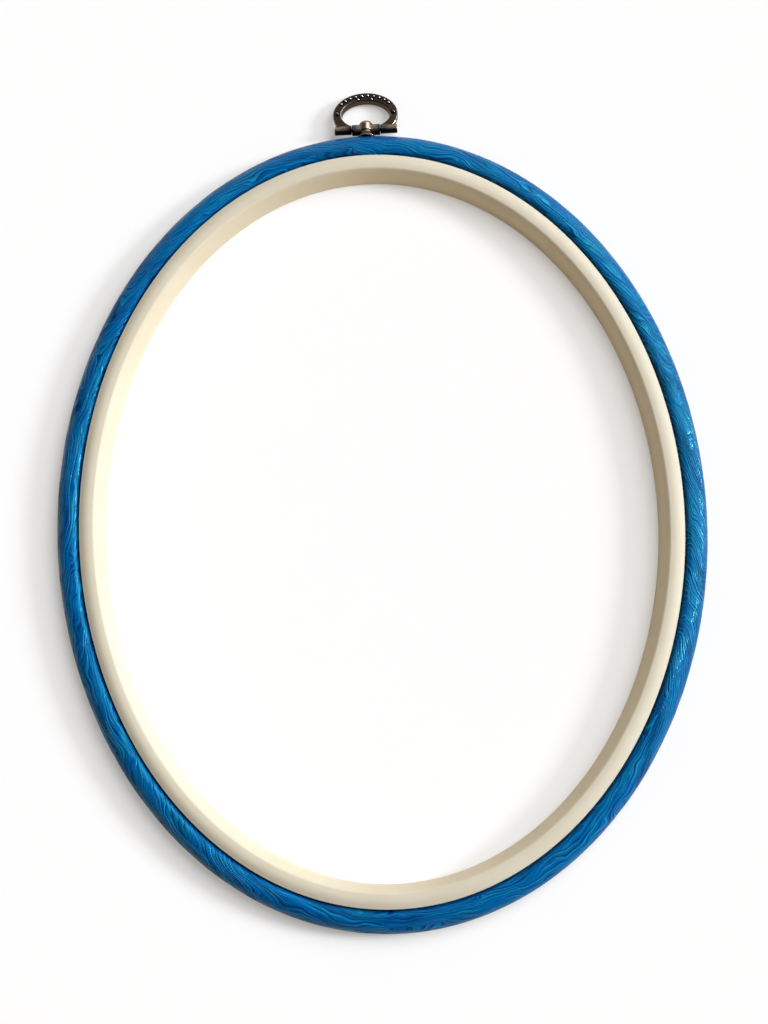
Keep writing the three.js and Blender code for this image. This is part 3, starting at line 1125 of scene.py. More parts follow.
@dataclass
class InnerHoop:
    """The rigid cream hoop: a lip over the outer hoop, a crowned front and an open channel at the back."""

    oval: Oval
    height: float
    lip_reach: float = LIP_REACH
    lip_thickness: float = 0.8 * MM
    lip_cove: float = 0.3 * MM
    crown_rise: float = 0.9 * MM
    crown_inset: float = 3.4 * MM
    ridge_inset: float = 4.5 * MM
    ridge_drop: float = 0.06 * MM
    ridge_round: float = 1.9 * MM
    ridge_foot_drop: float = 3.0 * MM
    back_width: float = 7.8 * MM
    back_round: float = 0.5 * MM
    wall_swell: float = 0.12 * MM
    wall: float = 1.6 * MM
    channel_roof: float = 2.6 * MM
    channel_round: float = 0.6 * MM
    sharp: float = 50.0
    steps: int = 540

    def outline(self) -> np.ndarray:
        """Draw the section.

        Returns:
            A closed outline of (u, height) points.
        """
        core = -self.lip_reach
        half_lip = self.lip_thickness / 2
        under_lip = self.height - self.crown_rise - self.lip_thickness
        crown = (-self.crown_inset, self.height)
        ridge = (-self.ridge_inset, self.height - self.ridge_drop)
        foot = (-self.ridge_inset - self.ridge_round, self.height - self.ridge_foot_drop)
        back = (-self.back_width, self.back_round)
        swell = ((foot[0] + back[0]) / 2 - self.wall_swell, (foot[1] + back[1]) / 2 + self.wall_swell / 2)
        lead = (ridge[1] - foot[1]) / (foot[1] - swell[1])
        shoulder = (foot[0] + lead * (foot[0] - swell[0]), ridge[1])
        outer_wall = core - self.wall
        inner_wall = -self.back_width + self.wall
        roof = self.height - self.channel_roof
        corner = -self.ridge_inset
        fillet = self.channel_round
        edge = (self.back_round, self.back_round)
        cove = (self.lip_cove, self.lip_cove)
        return joined(
            line((outer_wall, 0), (core - self.back_round, 0), 2),
            arc((core - self.back_round, self.back_round), edge, -90, 0, 5),
            line((core, self.back_round), (core, under_lip - self.lip_cove), 4),
            arc((core + self.lip_cove, under_lip - self.lip_cove), cove, 180, 90, 4),
            line((core + self.lip_cove, under_lip), (-half_lip, under_lip), 2),
            arc((-half_lip, under_lip + half_lip), (half_lip, half_lip), -90, 90, 12),
            bend((-half_lip, under_lip + 2 * half_lip), ((crown[0] - half_lip) / 2, self.height), crown, 12),
            bend(crown, ((crown[0] + ridge[0]) / 2, self.height), ridge, 4),
            bend(ridge, shoulder, foot, 14),
            bend(foot, swell, back, 14),
            arc((back[0] + self.back_round, self.back_round), edge, 180, 270, 5),
            line((back[0] + self.back_round, 0), (inner_wall, 0), 2),
            line((inner_wall, 0), (corner, roof - fillet), 4),
            bend((corner, roof - fillet), (corner, roof), (corner + fillet, roof), 4),
            line((corner + fillet, roof), (outer_wall - fillet, roof), 2),
            bend((outer_wall - fillet, roof), (outer_wall, roof), (outer_wall, roof - fillet), 4),
            line((outer_wall, roof - fillet), (outer_wall, 0), 4),
            closed=True,
        )

    def build(self) -> bpy.types.Object:
        """Sweep the section round the oval.

        Returns:
            The finished piece.
        """
        outline = self.outline()
        points = self.oval.ring(outline, self.steps).reshape(-1, 3)
        piece = solid("cream_inner_hoop", points, grid_faces(self.steps, len(outline), True, True))
        piece.data.set_sharp_from_angle(angle=math.radians(self.sharp))
        return piece


@dataclass
class OuterHoop:
    """The flexible blue hoop with its embossed grain, the hanger's seat and the pocket behind it."""

    oval: Oval
    reach: float
    height: float
    hinge: Vector
    axis_rise: float
    clearance: float = 0.3 * MM
    lip_reach: float = LIP_REACH
    bulge: float = 4.3 * MM
    crown: float = 5.0 * MM
    shoulder_drop: float = 4.2 * MM
    valley_depth: float = 1.3 * MM
    valley_width: float = 0.54 * MM
    valley_place: float = 0.12 * MM
    valley_stop: float = 6.0 * MM
    roof_rise: float = 0.12 * MM
    nick_x: float = -2.0 * MM
    nick_width: float = 0.9 * MM
    nick_depth: float = 2.2 * MM
    back_round: float = 1.0 * MM
    grain_depth: float = 0.16 * MM
    grain_level: float = 0.8
    plain_relief: float = 0.55
    back_grain: float = 0.6
    seat: Seat = Seat()
    seat_margin: float = 0.3 * MM
    stem_hole_diameter: float = 3.3 * MM
    pocket_diameter: float = 5.4 * MM
    cut_past: float = 1.0 * MM
    sharp: float = 60.0
    steps: int = 1310

    def grip(self) -> float:
        """Where the wall that grips the inner hoop stands."""
        return self.clearance - self.lip_reach

    def outline(self) -> tuple[np.ndarray, np.ndarray]:
        """The section and how much grain each point of it takes.

        Returns:
            A closed outline of (u, height) points, and numbers from 0 to 1.
        """
        grip = self.grip()
        belly = self.reach - self.bulge
        crest = self.reach - self.crown
        half = self.height / 2
        shoulder = self.height - self.shoulder_drop
        back = self.back_round
        slope = arc((crest, shoulder), (crest - grip, self.shoulder_drop), 90, 180, 26)
        stretches = [
            (line((grip + back, 0), (belly, 0), 5), 0, self.back_grain),
            (arc((belly, half), (self.bulge, half), -90, 0, 12), self.back_grain, 1),
            (arc((crest, half), (self.crown, half), 0, 90, 28), 1, 1),
            (slope, 1, 0),
            (line((grip, shoulder), (grip, back), 2), 0, 0),
            (arc((grip + back, back), (back, back), 180, 270, 3), 0, 0),
        ]
        outline = joined(*[points for points, _, _ in stretches], closed=True)
        shares = [np.linspace(start, end, len(points))[:-1] for points, start, end in stretches]
        return outline, np.concatenate(shares) ** 0.5

    def valley(self, outline: np.ndarray, stops: np.ndarray) -> np.ndarray:
        """How deep the narrow valley beside the lip is, with a small nick in it opposite the hanger.

        It gives way to a low rise over the hanger's pocket.

        Args:
            outline: The section's points.
            stops: The places round the oval.

        Returns:
            Depths, one row for each stop and one column for each point of the section.
        """
        slope = outline[:, 1] > self.height - self.shoulder_drop
        aside = outline[:, 0] - self.valley_place
        dip = slope * np.exp(-((aside / self.valley_width) ** 2))
        past = np.hypot(stops[:, 0], stops[:, 1] - self.oval.middle_y - self.oval.half_length)
        over = np.exp(-((past / self.valley_stop) ** 2))
        depth = self.valley_depth - (self.valley_depth + self.roof_rise) * over
        nick = (stops[:, 1] < 0) * np.exp(-(((stops[:, 0] - self.nick_x) / self.nick_width) ** 2))
        wide = slope * np.exp(-((aside / self.nick_width) ** 2))
        return depth[:, None] * dip[None, :] + self.nick_depth * nick[:, None] * wide[None, :]

    def tools(self) -> list[bpy.types.Object]:
        """Make the solids that cut the seat, the stem's hole and the pocket.

        Returns:
            The solids.
        """
        seat_bottom = -self.axis_rise - self.seat.foot_sink * MM
        seat_radius = self.seat.foot_diameter * MM / 2 + self.seat_margin
        wall = self.grip() - self.reach - self.axis_rise
        spans = [
            (seat_radius, seat_bottom, self.cut_past),
            (self.stem_hole_diameter / 2, wall, self.cut_past),
            (self.pocket_diameter / 2, wall - self.cut_past, wall + self.seat.pocket_depth * MM),
        ]
        made = []
        for radius, start, end in spans:
            profile = np.array([(0, start), (radius, start), (radius, end), (0, end)])
            tool = turned("tool", profile, ROUND_SIDES)
            tool.data.transform(Matrix.Translation(self.hinge))
            made.append(tool)
        return made

    def build(self) -> bpy.types.Object:
        """Sweep the section round the oval, press the grain into it and cut the hanger's places.

        Returns:
            The finished piece.
        """
        outline, share = self.outline()
        points = self.oval.ring(outline, self.steps)
        along = np.roll(outline, -1, 0) - np.roll(outline, 1, 0)
        across = np.column_stack([along[:, 1], -along[:, 0]]) / np.linalg.norm(along, axis=1)[:, None]
        stops, outward, walked = self.oval.walk(self.steps)
        beside = np.concatenate([[0], np.cumsum(np.linalg.norm(np.diff(outline, axis=0), axis=1))])
        walked_grid, beside_grid = np.meshgrid(walked[:-1], beside, indexing="ij")
        grain = WoodGrain(walked[-1])
        fibres = grain.across_fibres(walked_grid, beside_grid)
        relief = grain.relief(walked_grid, fibres)
        lift = self.grain_depth * share[None, :] * (relief - self.grain_level)
        points[:, :, :2] += (lift * across[None, :, 0])[:, :, None] * outward[:, None, :]
        points[:, :, 2] += lift * across[None, :, 1] - self.valley(outline, stops)
        np.maximum(points[:, :, 2], 0, out=points[:, :, 2])
        faces = grid_faces(self.steps, len(outline), True, True)
        piece = solid("blue_outer_hoop", points.reshape(-1, 3), faces)
        store(piece, "across", fibres)
        store(piece, "relief", relief * share[None, :] + self.plain_relief * (1 - share[None, :]))
        cut(piece, *self.tools())
        piece.data.set_sharp_from_angle(angle=math.radians(self.sharp))
        return piece


@dataclass
class HangerPart:
    """What the pieces of the cast hanger share: their joints, their bores and the look of the castings.

    A piece is built in millimetres about the hinge axis, which lies along X, and then set in the frame.
    """

    hinge: Vector
    axis_rise: float
    outer_width: float
    seat_gap: float = 0.1
    knuckle_diameter: float = 3.7
    knuckle_length: float = 9.4
    pin_diameter: float = 1.2
    pin_clearance: float = 0.12
    bore_edge: float = 0.1
    bore_roof: float = 0.6
    cut_past: float = 1.0
    barrel_length: float = 5.75
    barrel_gap: float = 0.1
    screw_diameter: float = 2.0
    screw_clearance: float = 0.15
    screw_head_height: float = 1.1
    screw_head_recess: float = 0.2
    # How the painted lit side fades: away from the axis, towards the hoop and where a surface turns to face
    # the hoop.
    lit_side_fade: float = 0.3
    lit_side_end: float = -0.9
    lit_side_turn: float = -0.60
    lit_side_soft: float = 0.25
    # How far the painted shade in the grooves reaches.
    groove_shade_reach: float = 0.28
    voxel: float = 0.075

    def grip_y(self) -> float:
        """Where the outer hoop's inner wall stands, from the hinge axis."""
        return -self.axis_rise - self.outer_width

    def head_top_y(self) -> float:
        """Where the screw's head ends and its shank starts."""
        return self.grip_y() + self.screw_head_recess + self.screw_head_height

    def bore_end_y(self) -> float:
        """Where the screw's bore ends, short of the pin."""
        return -self.pin_diameter / 2 - self.pin_clearance - self.bore_roof

    def barrel_span(self) -> tuple[float, float]:
        """Where the right barrel starts and ends on the axis."""
        start = self.knuckle_length / 2 + self.barrel_gap
        return start, start + self.barrel_length

    def pin_bore(self, half: float) -> bpy.types.Object:
        """The pin's bore as a bar that reaches past both ends of a piece that is this half as long."""
        radius = self.pin_diameter / 2 + self.pin_clearance
        return round_bar("bore", radius, -half - self.cut_past, half + self.cut_past, self.bore_edge)

    def placed(self, piece: bpy.types.Object, lean: float = 0.0) -> bpy.types.Object:
        """Set a piece in the frame, in metres.

        Args:
            piece: The piece, in millimetres about the hinge axis.
            lean: How far it hangs back about the axis, in radians.

        Returns:
            The same piece.
        """
        turn = Matrix.Rotation(-lean, 4, "X")
        piece.data.transform(Matrix.Translation(self.hinge) @ Matrix.Scale(MM, 4) @ turn)
        return piece

    def painted_lit_side(self, piece: bpy.types.Object, reach: float) -> bpy.types.Object:
        """Paint light on the parts near the hinge axis: lighter plating, except where they face the hoop or
        lie nearest it.

        Args:
            piece: The piece, in millimetres about the hinge axis, whose mesh gets the attribute "polish".
            reach: How far from the axis the bright parts end.

        Returns:
            The same piece.
        """
        points = read_points(piece, "co")
        normals = read_points(piece, "normal")
        near = np.clip(1 + (reach - np.hypot(points[:, 1], points[:, 2])) / self.lit_side_fade, 0, 1)
        above = np.clip(1 + (points[:, 1] - self.lit_side_end) / self.lit_side_fade, 0, 1)
        facing = np.clip((normals[:, 1] - self.lit_side_turn) / self.lit_side_soft, 0, 1)
        # Painted light for the material: lighter where the parts face away from the hoop.
        store(piece, "painted_lit_side", near * above * facing)
        return piece

    def painted_groove_shade(self, points: np.ndarray) -> np.ndarray:
        """Painted shade in the two grooves between the knuckle and the barrels.

        Args:
            points: A piece's points, in millimetres about the hinge axis.

        Returns:
            How deep the painted shade is at each point, from 0 to 1.
        """
        past = np.abs(np.abs(points[:, 0]) - self.barrel_span()[0] + self.barrel_gap / 2)
        near = np.hypot(points[:, 1], points[:, 2]) < self.knuckle_diameter / 2 + self.barrel_gap
        return near * np.clip(2 - past / self.groove_shade_reach, 0, 1)


@dataclass
class Post(HangerPart):
    """The cast post: a domed boss on a hollow flared foot, a knuckle across it and a stem below."""

    boss_top_diameter: float = 4.4
    boss_foot_diameter: float = 4.9
    boss_dome_rise: float = 3.15
    boss_shoulder: float = 1.75
    boss_foot_drop: float = 0.55
    boss_foot_round: float = 0.3
    seat: Seat = Seat()
    foot_thickness: float = 0.35
    knuckle_edge: float = 0.22
    stem_setback: float = 0.9
    stem_diameter: float = 3.0
    smoothing: int = 3
    kept_share: float = 0.45

    def build(self) -> bpy.types.Object:
        """Cast the boss and the knuckle in one, and bore them for the pin and the screw.

        Returns:
            The finished piece.
        """
        waist_radius = self.boss_foot_diameter / 2 - self.boss_foot_round
        rim_radius = self.seat.foot_diameter / 2
        stem_radius = self.stem_diameter / 2
        top_radius = self.boss_top_diameter / 2
        base = -self.axis_rise - self.seat.foot_sink + self.seat_gap
        stem_end = self.grip_y() + self.seat.pocket_depth + self.stem_setback
        hollow_top = (stem_radius, (base - self.boss_foot_drop) / 2 - self.foot_thickness)
        inner_rim = (rim_radius - self.foot_thickness / 2, base)
        rim = (rim_radius, base + self.foot_thickness / 2)
        waist = (waist_radius, -self.boss_foot_drop - self.boss_foot_round)
        boss_foot = (self.boss_foot_diameter / 2, -self.boss_foot_drop + self.boss_foot_round)
        profile = joined(
            line((0, stem_end), (stem_radius, stem_end), 3),
            line((stem_radius, stem_end), hollow_top, 12),
            bend(hollow_top, (inner_rim[0] - self.foot_thickness, hollow_top[1]), inner_rim, 8),
            line(inner_rim, rim, 2),
            bend(rim, (waist_radius + self.foot_thickness / 2, (rim[1] + waist[1]) / 2), waist, 10),
            bend(waist, (waist_radius, -self.boss_foot_drop), boss_foot, 6),
            line(boss_foot, (top_radius, self.boss_shoulder), 8),
            arc((0, self.boss_shoulder), (top_radius, self.boss_dome_rise - self.boss_shoulder), 0, 90, 16),
            closed=False,
        )
        boss = turned("boss", profile, FINE_SIDES)
        half = self.knuckle_length / 2
        knuckle = round_bar("knuckle", self.knuckle_diameter / 2, -half, half, self.knuckle_edge, FINE_SIDES)
        casting = cast_in_one("cast_hanger_post", [boss, knuckle], self.voxel, self.smoothing)
        thin_out(casting, self.kept_share)
        screw_radius = self.screw_diameter / 2 + self.screw_clearance
        pin_bore = self.pin_bore(half)
        bore_start = stem_end - self.cut_past
        screw_bore = round_bar("bore", screw_radius, bore_start, self.bore_end_y(), self.bore_edge)
        screw_bore.data.transform(Matrix.Rotation(math.pi / 2, 4, "Z"))
        cut(casting, pin_bore, screw_bore)
        # Painted shade in the grooves beside the knuckle.
        store(casting, "painted_shade", self.painted_groove_shade(read_points(casting, "co")))
        # Painted light on the boss and the knuckle, then set in the frame.
        return self.placed(self.painted_lit_side(casting, self.boss_dome_rise))


@dataclass
class Pin(HangerPart):
    """The hinge pin through the knuckle and both barrels, with its ends rounded over."""

    recess: float = 0.1
    edge: float = 0.22
    sides: int = 48

    def build(self) -> bpy.types.Object:
        """Build the pin.

        Returns:
            The finished piece.
        """
        half = self.barrel_span()[1] - self.recess
        pin = round_bar("steel_hinge_pin", self.pin_diameter / 2, -half, half, self.edge, self.sides)
        return self.placed(pin)


@dataclass
class Bail(HangerPart):
    """The cast bail: a tapered oval band with beads on its front and a barrel at each leg."""

    reach: float = 13.75
    half_width: float = 10.85
    centre_rise: float = 5.45
    thickness: float = 2.4
    side_width: float = 2.7
    top_width: float = 3.0
    edge: float = 0.4
    band_runs: int = 120
    corner_runs: int = 5
    eye_taper: float = 0.07
    eye_foot: float = 0.98
    rest_gap: float = 0.05
    knuckle_clearance: float = 0.3
    barrel_diameter: float = 2.9
    barrel_edge: float = 0.20
    bead_diameter: float = 0.9
    bead_sink: float = 0.08
    bead_sides: int = 24
    bead_runs: int = 12
    bead_count: int = 10
    bead_spread: float = 108
    bead_share: float = 0.6
    inner_bead_spread: float = 30
    inner_bead_share: float = 0.2
    side_bead_diameter: float = 1.35
    side_bead_spread: float = 170
    side_bead_share: float = 0.5
    # How far and how deep on the face the painted shade round the beads reaches.
    bead_shade_reach: float = 0.45
    bead_shade_depth: float = 0.12
    smoothing: int = 2
    kept_share: float = 0.5

    def droop(self) -> float:
        """Work out how far the bail hangs back until its tip is just off the surface below.

        Returns:
            The angle, in radians.
        """
        half = self.thickness / 2
        drop = self.hinge.z / MM - self.rest_gap
        return math.asin(drop / math.hypot(self.reach, half)) - math.atan2(half, self.reach)

    def rim(self) -> tuple[float, float]:
        """Half the width and half the height of the bail's outer oval."""
        return self.half_width, self.reach - self.centre_rise

    def eye(self) -> tuple[float, float]:
        """Half the width and half the height of the bail's eye."""
        half_width, half_height = self.rim()
        return half_width - self.side_width, half_height - self.top_width

    def band_section(self, width: float, lean: float) -> np.ndarray:
        """The band's section, with rounded edges.

        Args:
            width: How wide the band is there.
            lean: How far the eye's side leans in towards the back.

        Returns:
            Points of (distance from the eye, height), one row each.
        """
        half = self.thickness / 2
        edge = self.edge
        centres = [
            (width - edge, half - edge),
            (edge, half - edge),
            (edge - lean, edge - half),
            (width - edge, edge - half),
        ]
        corners = [
            arc(centre, (edge, edge), quarter * 90, quarter * 90 + 90, self.corner_runs)
            for quarter, centre in enumerate(centres)
        ]
        return joined(*corners, closed=False)

    def band(self) -> bpy.types.Object:
        """Build the bail's oval band, from the axis on one side over the top to the axis on the other.

        Returns:
            The band.
        """
        rows = []
        for step in np.linspace(0, 1, self.band_runs + 1):
            ends = []
            for reach in (self.rim(), self.eye()):
                start = math.asin(-min(self.centre_rise / reach[1], self.eye_foot))
                turn = start + step * (math.pi - 2 * start)
                ends.append(np.array([reach[0] * math.cos(turn), reach[1] * math.sin(turn)]))
            outer, inner = ends
            width = np.linalg.norm(outer - inner)
            across = (outer - inner) / width
            section = self.band_section(width, self.eye_taper * float(np.linalg.norm(inner)))
            flat = inner[None, :] + across[None, :] * section[:, :1]
            rows.append(np.column_stack([flat[:, 0], flat[:, 1] + self.centre_rise, section[:, 1]]))
        count = len(rows[0])
        faces = grid_faces(len(rows), count, False, True).tolist()
        last = (len(rows) - 1) * count
        faces += [list(range(count)), list(range(last + count - 1, last - 1, -1))]
        return solid("band", np.vstack(rows), faces)

    def bead_places(self) -> list[tuple[tuple[float, float], float]]:
        """Where the cast beads stand: a row near the rim, two nearer the eye and one big one each side.

        Returns:
            Each bead's place on the bail's face and its radius.
        """
        rim, eye = self.rim(), self.eye()
        kinds = [
            (self.bead_count, self.bead_spread, self.bead_share, self.bead_diameter),
            (2, self.inner_bead_spread, self.inner_bead_share, self.bead_diameter),
            (2, self.side_bead_spread, self.side_bead_share, self.side_bead_diameter),
        ]
        places = []
        for count, spread, share, diameter in kinds:
            half_width = eye[0] + share * (rim[0] - eye[0])
            half_height = eye[1] + share * (rim[1] - eye[1])
            for turn in np.radians(np.linspace(90 - spread / 2, 90 + spread / 2, count)):
                place = (half_width * math.cos(turn), self.centre_rise + half_height * math.sin(turn))
                places.append((place, diameter / 2))
        return places

    def beads(self) -> list[bpy.types.Object]:
        """Build the beads on the bail's front.

        Returns:
            One object for each bead.
        """
        made = []
        for place, radius in self.bead_places():
            bead = turned("bead", arc((0, 0), (radius, radius), -90, 90, self.bead_runs), self.bead_sides)
            bead.data.transform(Matrix.Translation((*place, self.thickness / 2 - self.bead_sink)))
            made.append(bead)
        return made

    def paint_bead_and_groove_shade(self, piece: bpy.types.Object) -> None:
        """Paint shade round the bail's beads and in its grooves, as the attribute "soot".

        Args:
            piece: The bail, in millimetres about the hinge axis.
        """
        points = read_points(piece, "co")
        face = self.thickness / 2
        painted_shade = np.zeros(len(points))
        for place, radius in self.bead_places():
            past = np.hypot(points[:, 0] - place[0], points[:, 1] - place[1]) - radius
            painted_shade = np.maximum(painted_shade, np.clip(1 - past / self.bead_shade_reach, 0, 1))
        level = np.abs(points[:, 2] - face) < self.bead_shade_depth
        store(piece, "painted_shade", np.maximum(painted_shade * level, self.painted_groove_shade(points)))

    def build(self) -> bpy.types.Object:
        """Build the beaded band and its two barrels as one casting.

        Returns:
            The finished piece.
        """
        start, end = self.barrel_span()
        radius = self.barrel_diameter / 2
        room_radius = self.knuckle_diameter / 2 + self.knuckle_clearance
        band = cut(self.band(), round_bar("room", room_radius, -start, start, self.bore_edge))
        barrels = [
            round_bar("barrel", radius, low, high, self.barrel_edge, FINE_SIDES)
            for low, high in ((start, end), (-end, -start))
        ]
        casting = cast_in_one("cast_bail", [band, *barrels, *self.beads()], self.voxel, self.smoothing)
        thin_out(casting, self.kept_share)
        cut(casting, self.pin_bore(end))
        # Painted shade round the beads and in the grooves.
        self.paint_bead_and_groove_shade(casting)
        # Painted light on the barrels, then set in the frame at the droop.
        return self.placed(self.painted_lit_side(casting, radius), self.droop())


@dataclass
class Washer(HangerPart):
    """The flat washer under the screw's head, with its edges stamped slightly round."""

    diameter: float = 5.2
    thickness: float = 0.5
    edge: float = 0.1

    def build(self) -> bpy.types.Object:
        """Build the washer.

        Returns:
            The finished piece.
        """
        inner = self.screw_diameter / 2 + self.screw_clearance
        outer = self.diameter / 2
        edge = self.edge
        low = self.head_top_y() + self.seat_gap
        high = low + self.thickness
        corner = (edge, edge)
        profile = joined(
            line((inner + edge, low), (outer - edge, low), 3),
            arc((outer - edge, low + edge), corner, -90, 0, 4),
            line((outer, low + edge), (outer, high - edge)),
            arc((outer - edge, high - edge), corner, 0, 90, 4),
            line((outer - edge, high), (inner + edge, high), 3),
            arc((inner + edge, high - edge), corner, 90, 180, 4),
            line((inner, high - edge), (inner, low + edge)),
            arc((inner + edge, low + edge), corner, 180, 270, 4),
            closed=True,
        )
        return self.placed(turned("plain_washer", profile, FINE_SIDES))


@dataclass
class Screw(HangerPart):
    """The slotted screw with a pan head and a cut thread, which holds the post from inside the outer hoop."""

    head_diameter: float = 3.8
    slot_width: float = 0.5
    slot_depth: float = 0.5
    tip_gap: float = 0.4
    sides: int = 48
    sharp: float = 40.0
    thread_pitch: float = 0.4
    thread_depth: float = 0.16
    thread_runs: float = 8
    thread_inside: float = 0.9
    tip_taper: float = 0.3

    def slot(self) -> bpy.types.Object:
        """Build the block that cuts the slot in the screw's head.

        Returns:
            The block.
        """
        block = bmesh.new()
        bmesh.ops.create_cube(block, size=1)
        length = self.head_diameter + 2 * self.cut_past
        size = (self.slot_width, 2 * self.slot_depth, length)
        bmesh.ops.scale(block, vec=size, verts=block.verts)
        bmesh.ops.translate(block, vec=(0, self.head_top_y() - self.screw_head_height, 0), verts=block.verts)
        mesh = bpy.data.meshes.new("slot")
        block.to_mesh(mesh)
        block.free()
        return add_object("slot", mesh)

    def build(self) -> bpy.types.Object:
        """Turn the head and the shank, and cut the thread and the slot.

        Returns:
            The finished piece.
        """
        head_top = self.head_top_y()
        head_radius = self.head_diameter / 2
        radius = self.screw_diameter / 2
        tip = self.bore_end_y() - self.tip_gap
        pitch = self.thread_pitch
        profile = joined(
            arc((0, head_top), (head_radius, self.screw_head_height), -90, 0, 14),
            line((head_radius, head_top), (radius, head_top), 3),
            line((radius, head_top), (radius, tip), int((tip - head_top) / pitch * self.thread_runs)),
            line((radius, tip), (0, tip), 3),
            closed=False,
        )
        piece = turned("slotted_screw", profile, self.sides)
        points = read_points(piece, "co")
        turn = np.arctan2(points[:, 2], points[:, 0]) / (2 * np.pi)
        phase = (points[:, 1] / pitch - turn) % 1.0
        skin = np.hypot(points[:, 0], points[:, 2]) > self.thread_inside * radius
        fade = np.clip((points[:, 1] - head_top - pitch) / pitch, 0, 1) * skin
        taper = 1 - self.tip_taper * np.clip((points[:, 1] - tip + pitch) / pitch, 0, 1)
        depth = self.thread_depth * fade * np.abs(2 * phase - 1)
        scale = taper * (1 - depth / radius)
        points[:, 0] *= scale
        points[:, 2] *= scale
        piece.data.vertices.foreach_set("co", points.astype(np.float32).ravel())
        cut(piece, self.slot())
        piece.data.set_sharp_from_angle(angle=math.radians(self.sharp))
        return self.placed(piece)


@dataclass
class Studio:
    """A white floor, a large soft light from the upper right, a window on the right and even light all round.

    The camera is the photograph's: it looks down from a little below the middle of the hoop.
    """

    distance: float = 0.650
    tilt: float = 9.58
    yaw: float = 1.13
    roll: float = -2.2
    focal_pixels: float = 1996.0
    look_x: float = 1.03 * MM
    look_y: float = 3.90 * MM
    floor_size: float = 6.0
    soft_azimuth: float = 35.0
    soft_elevation: float = 50.0
    soft_spread: float = 50.0
    soft_level: float = 0.58
    window_azimuth: float = 5.0
    window_elevation: float = 26.0
    window_spread: float = 13.0
    window_level: float = 0.29
    lamp_colour: Colour = (1.0, 1.025, 1.07)
    fill_level: float = 0.20
    fill_colour: Colour = (1.0, 0.82, 0.60)
    bright_side: float = 40.0
    bright_rise: Ramp = Ramp(-0.3, 0.6, 0, 0.48)
    far_side: Ramp = Ramp(-0.6, 0.3, 0.30, 1)
    wall_top: float = 0.02
    ceiling_start: float = 0.39
    ceiling: float = 0.18

    def camera(self, oval: Oval) -> None:
        """Set the camera where the photograph was taken from.

        Args:
            oval: The lip's oval, whose middle the camera's aim is measured from.
        """
        data = bpy.data.cameras.new("photograph")
        data.sensor_width = SENSOR
        data.sensor_fit = "AUTO"
        data.lens = self.focal_pixels * SENSOR / PICTURE_HEIGHT
        camera = add_object("photograph", data)
        back = Vector((math.sin(math.radians(self.yaw)), -math.sin(math.radians(self.tilt)), 0))
        back.z = math.sqrt(1 - back.x ** 2 - back.y ** 2)
        up = (Vector((0, 1, 0)) - back.y * back).normalized()
        right = up.cross(back)
        turn = math.radians(self.roll)
        up, right = (
            math.cos(turn) * up - math.sin(turn) * right,
            math.cos(turn) * right + math.sin(turn) * up,
        )
        target = Vector((self.look_x, self.look_y + oval.middle_y, 0))
        place = Matrix((right, up, back)).transposed().to_4x4()
        place.translation = target + back * self.distance
        camera.matrix_world = place
        bpy.context.scene.camera = camera

    def floor(self, oval: Oval) -> None:
        """Lay the white paper that the hoop lies on.

        Args:
            oval: The hoop's oval.
        """
        half = self.floor_size / 2
        corners = np.array([[-half, -half, 0], [half, -half, 0], [half, half, 0], [-half, half, 0]])
        paper = solid("studio_floor", corners, [[0, 1, 2, 3]])
        PaleFloor(oval).paint().dress(paper)

    def lamp(self, name: str, azimuth: float, elevation: float, spread: float, level: float) -> None:
        """Hang a lamp that lights the floor to a level.

        Args:
            name: The lamp's name.
            azimuth: Its direction round the scene, in degrees from +X.
            elevation: Its height over the floor, in degrees.
            spread: How wide it looks from the hoop, in degrees.
            level: How bright a white floor gets from it, where 1 is white.
        """
        data = bpy.data.lights.new(name, "SUN")
        data.angle = math.radians(spread)
        data.color = self.lamp_colour
        turn, rise = math.radians(azimuth), math.radians(elevation)
        data.energy = math.pi * level / math.sin(rise)
        lamp = add_object(name, data)
        towards = Vector((math.cos(turn) * math.cos(rise), math.sin(turn) * math.cos(rise), math.sin(rise)))
        lamp.rotation_mode = "QUATERNION"
        lamp.rotation_quaternion = towards.to_track_quat("Z", "Y")

    def surroundings(self) -> None:
        """Even light for matt surfaces, and for the camera and for gloss a room with a darker ceiling.

        The room is white at the floor all round, and stays white to a greater height on the lamps' side. In
        gloss it is dimmer on the far side.
        """
        world = bpy.data.worlds.new("studio")
        bpy.context.scene.world = world
        world.use_nodes = True
        nodes = Nodes(world.node_tree)
        nodes.tree.nodes.clear()
        direction = nodes.add("ShaderNodeTexCoord").outputs["Generated"]
        turn = math.radians(self.bright_side)
        side = (math.cos(turn), math.sin(turn), 0.0)
        towards = nodes.vector("DOT_PRODUCT", direction, side).outputs["Value"]
        parts = nodes.add("ShaderNodeSeparateXYZ")
        nodes.feed(direction, parts.inputs[0])
        above = nodes.join("SUBTRACT", parts.outputs["Z"], nodes.spread(towards, self.bright_rise))
        wall = nodes.add("ShaderNodeValToRGB")
        low, high = wall.color_ramp.elements
        low.position, low.color = self.wall_top, (1, 1, 1, 1)
        high.position, high.color = self.ceiling_start, (self.ceiling, self.ceiling, self.ceiling, 1)
        nodes.feed(above, wall.inputs["Fac"])
        camera_ray = nodes.add("ShaderNodeLightPath").outputs["Is Camera Ray"]
        dimmed = nodes.join("MAXIMUM", nodes.spread(towards, self.far_side), camera_ray)
        room = self.light(nodes, wall.outputs["Color"], dimmed)
        even = self.light(nodes, self.fill_colour, self.fill_level)
        mix = nodes.add("ShaderNodeMixShader")
        output = nodes.add("ShaderNodeOutputWorld")
        for source, target in zip((nodes.seen(), even, room), mix.inputs):
            nodes.feed(source, target)
        nodes.feed(mix.outputs[0], output.inputs["Surface"])

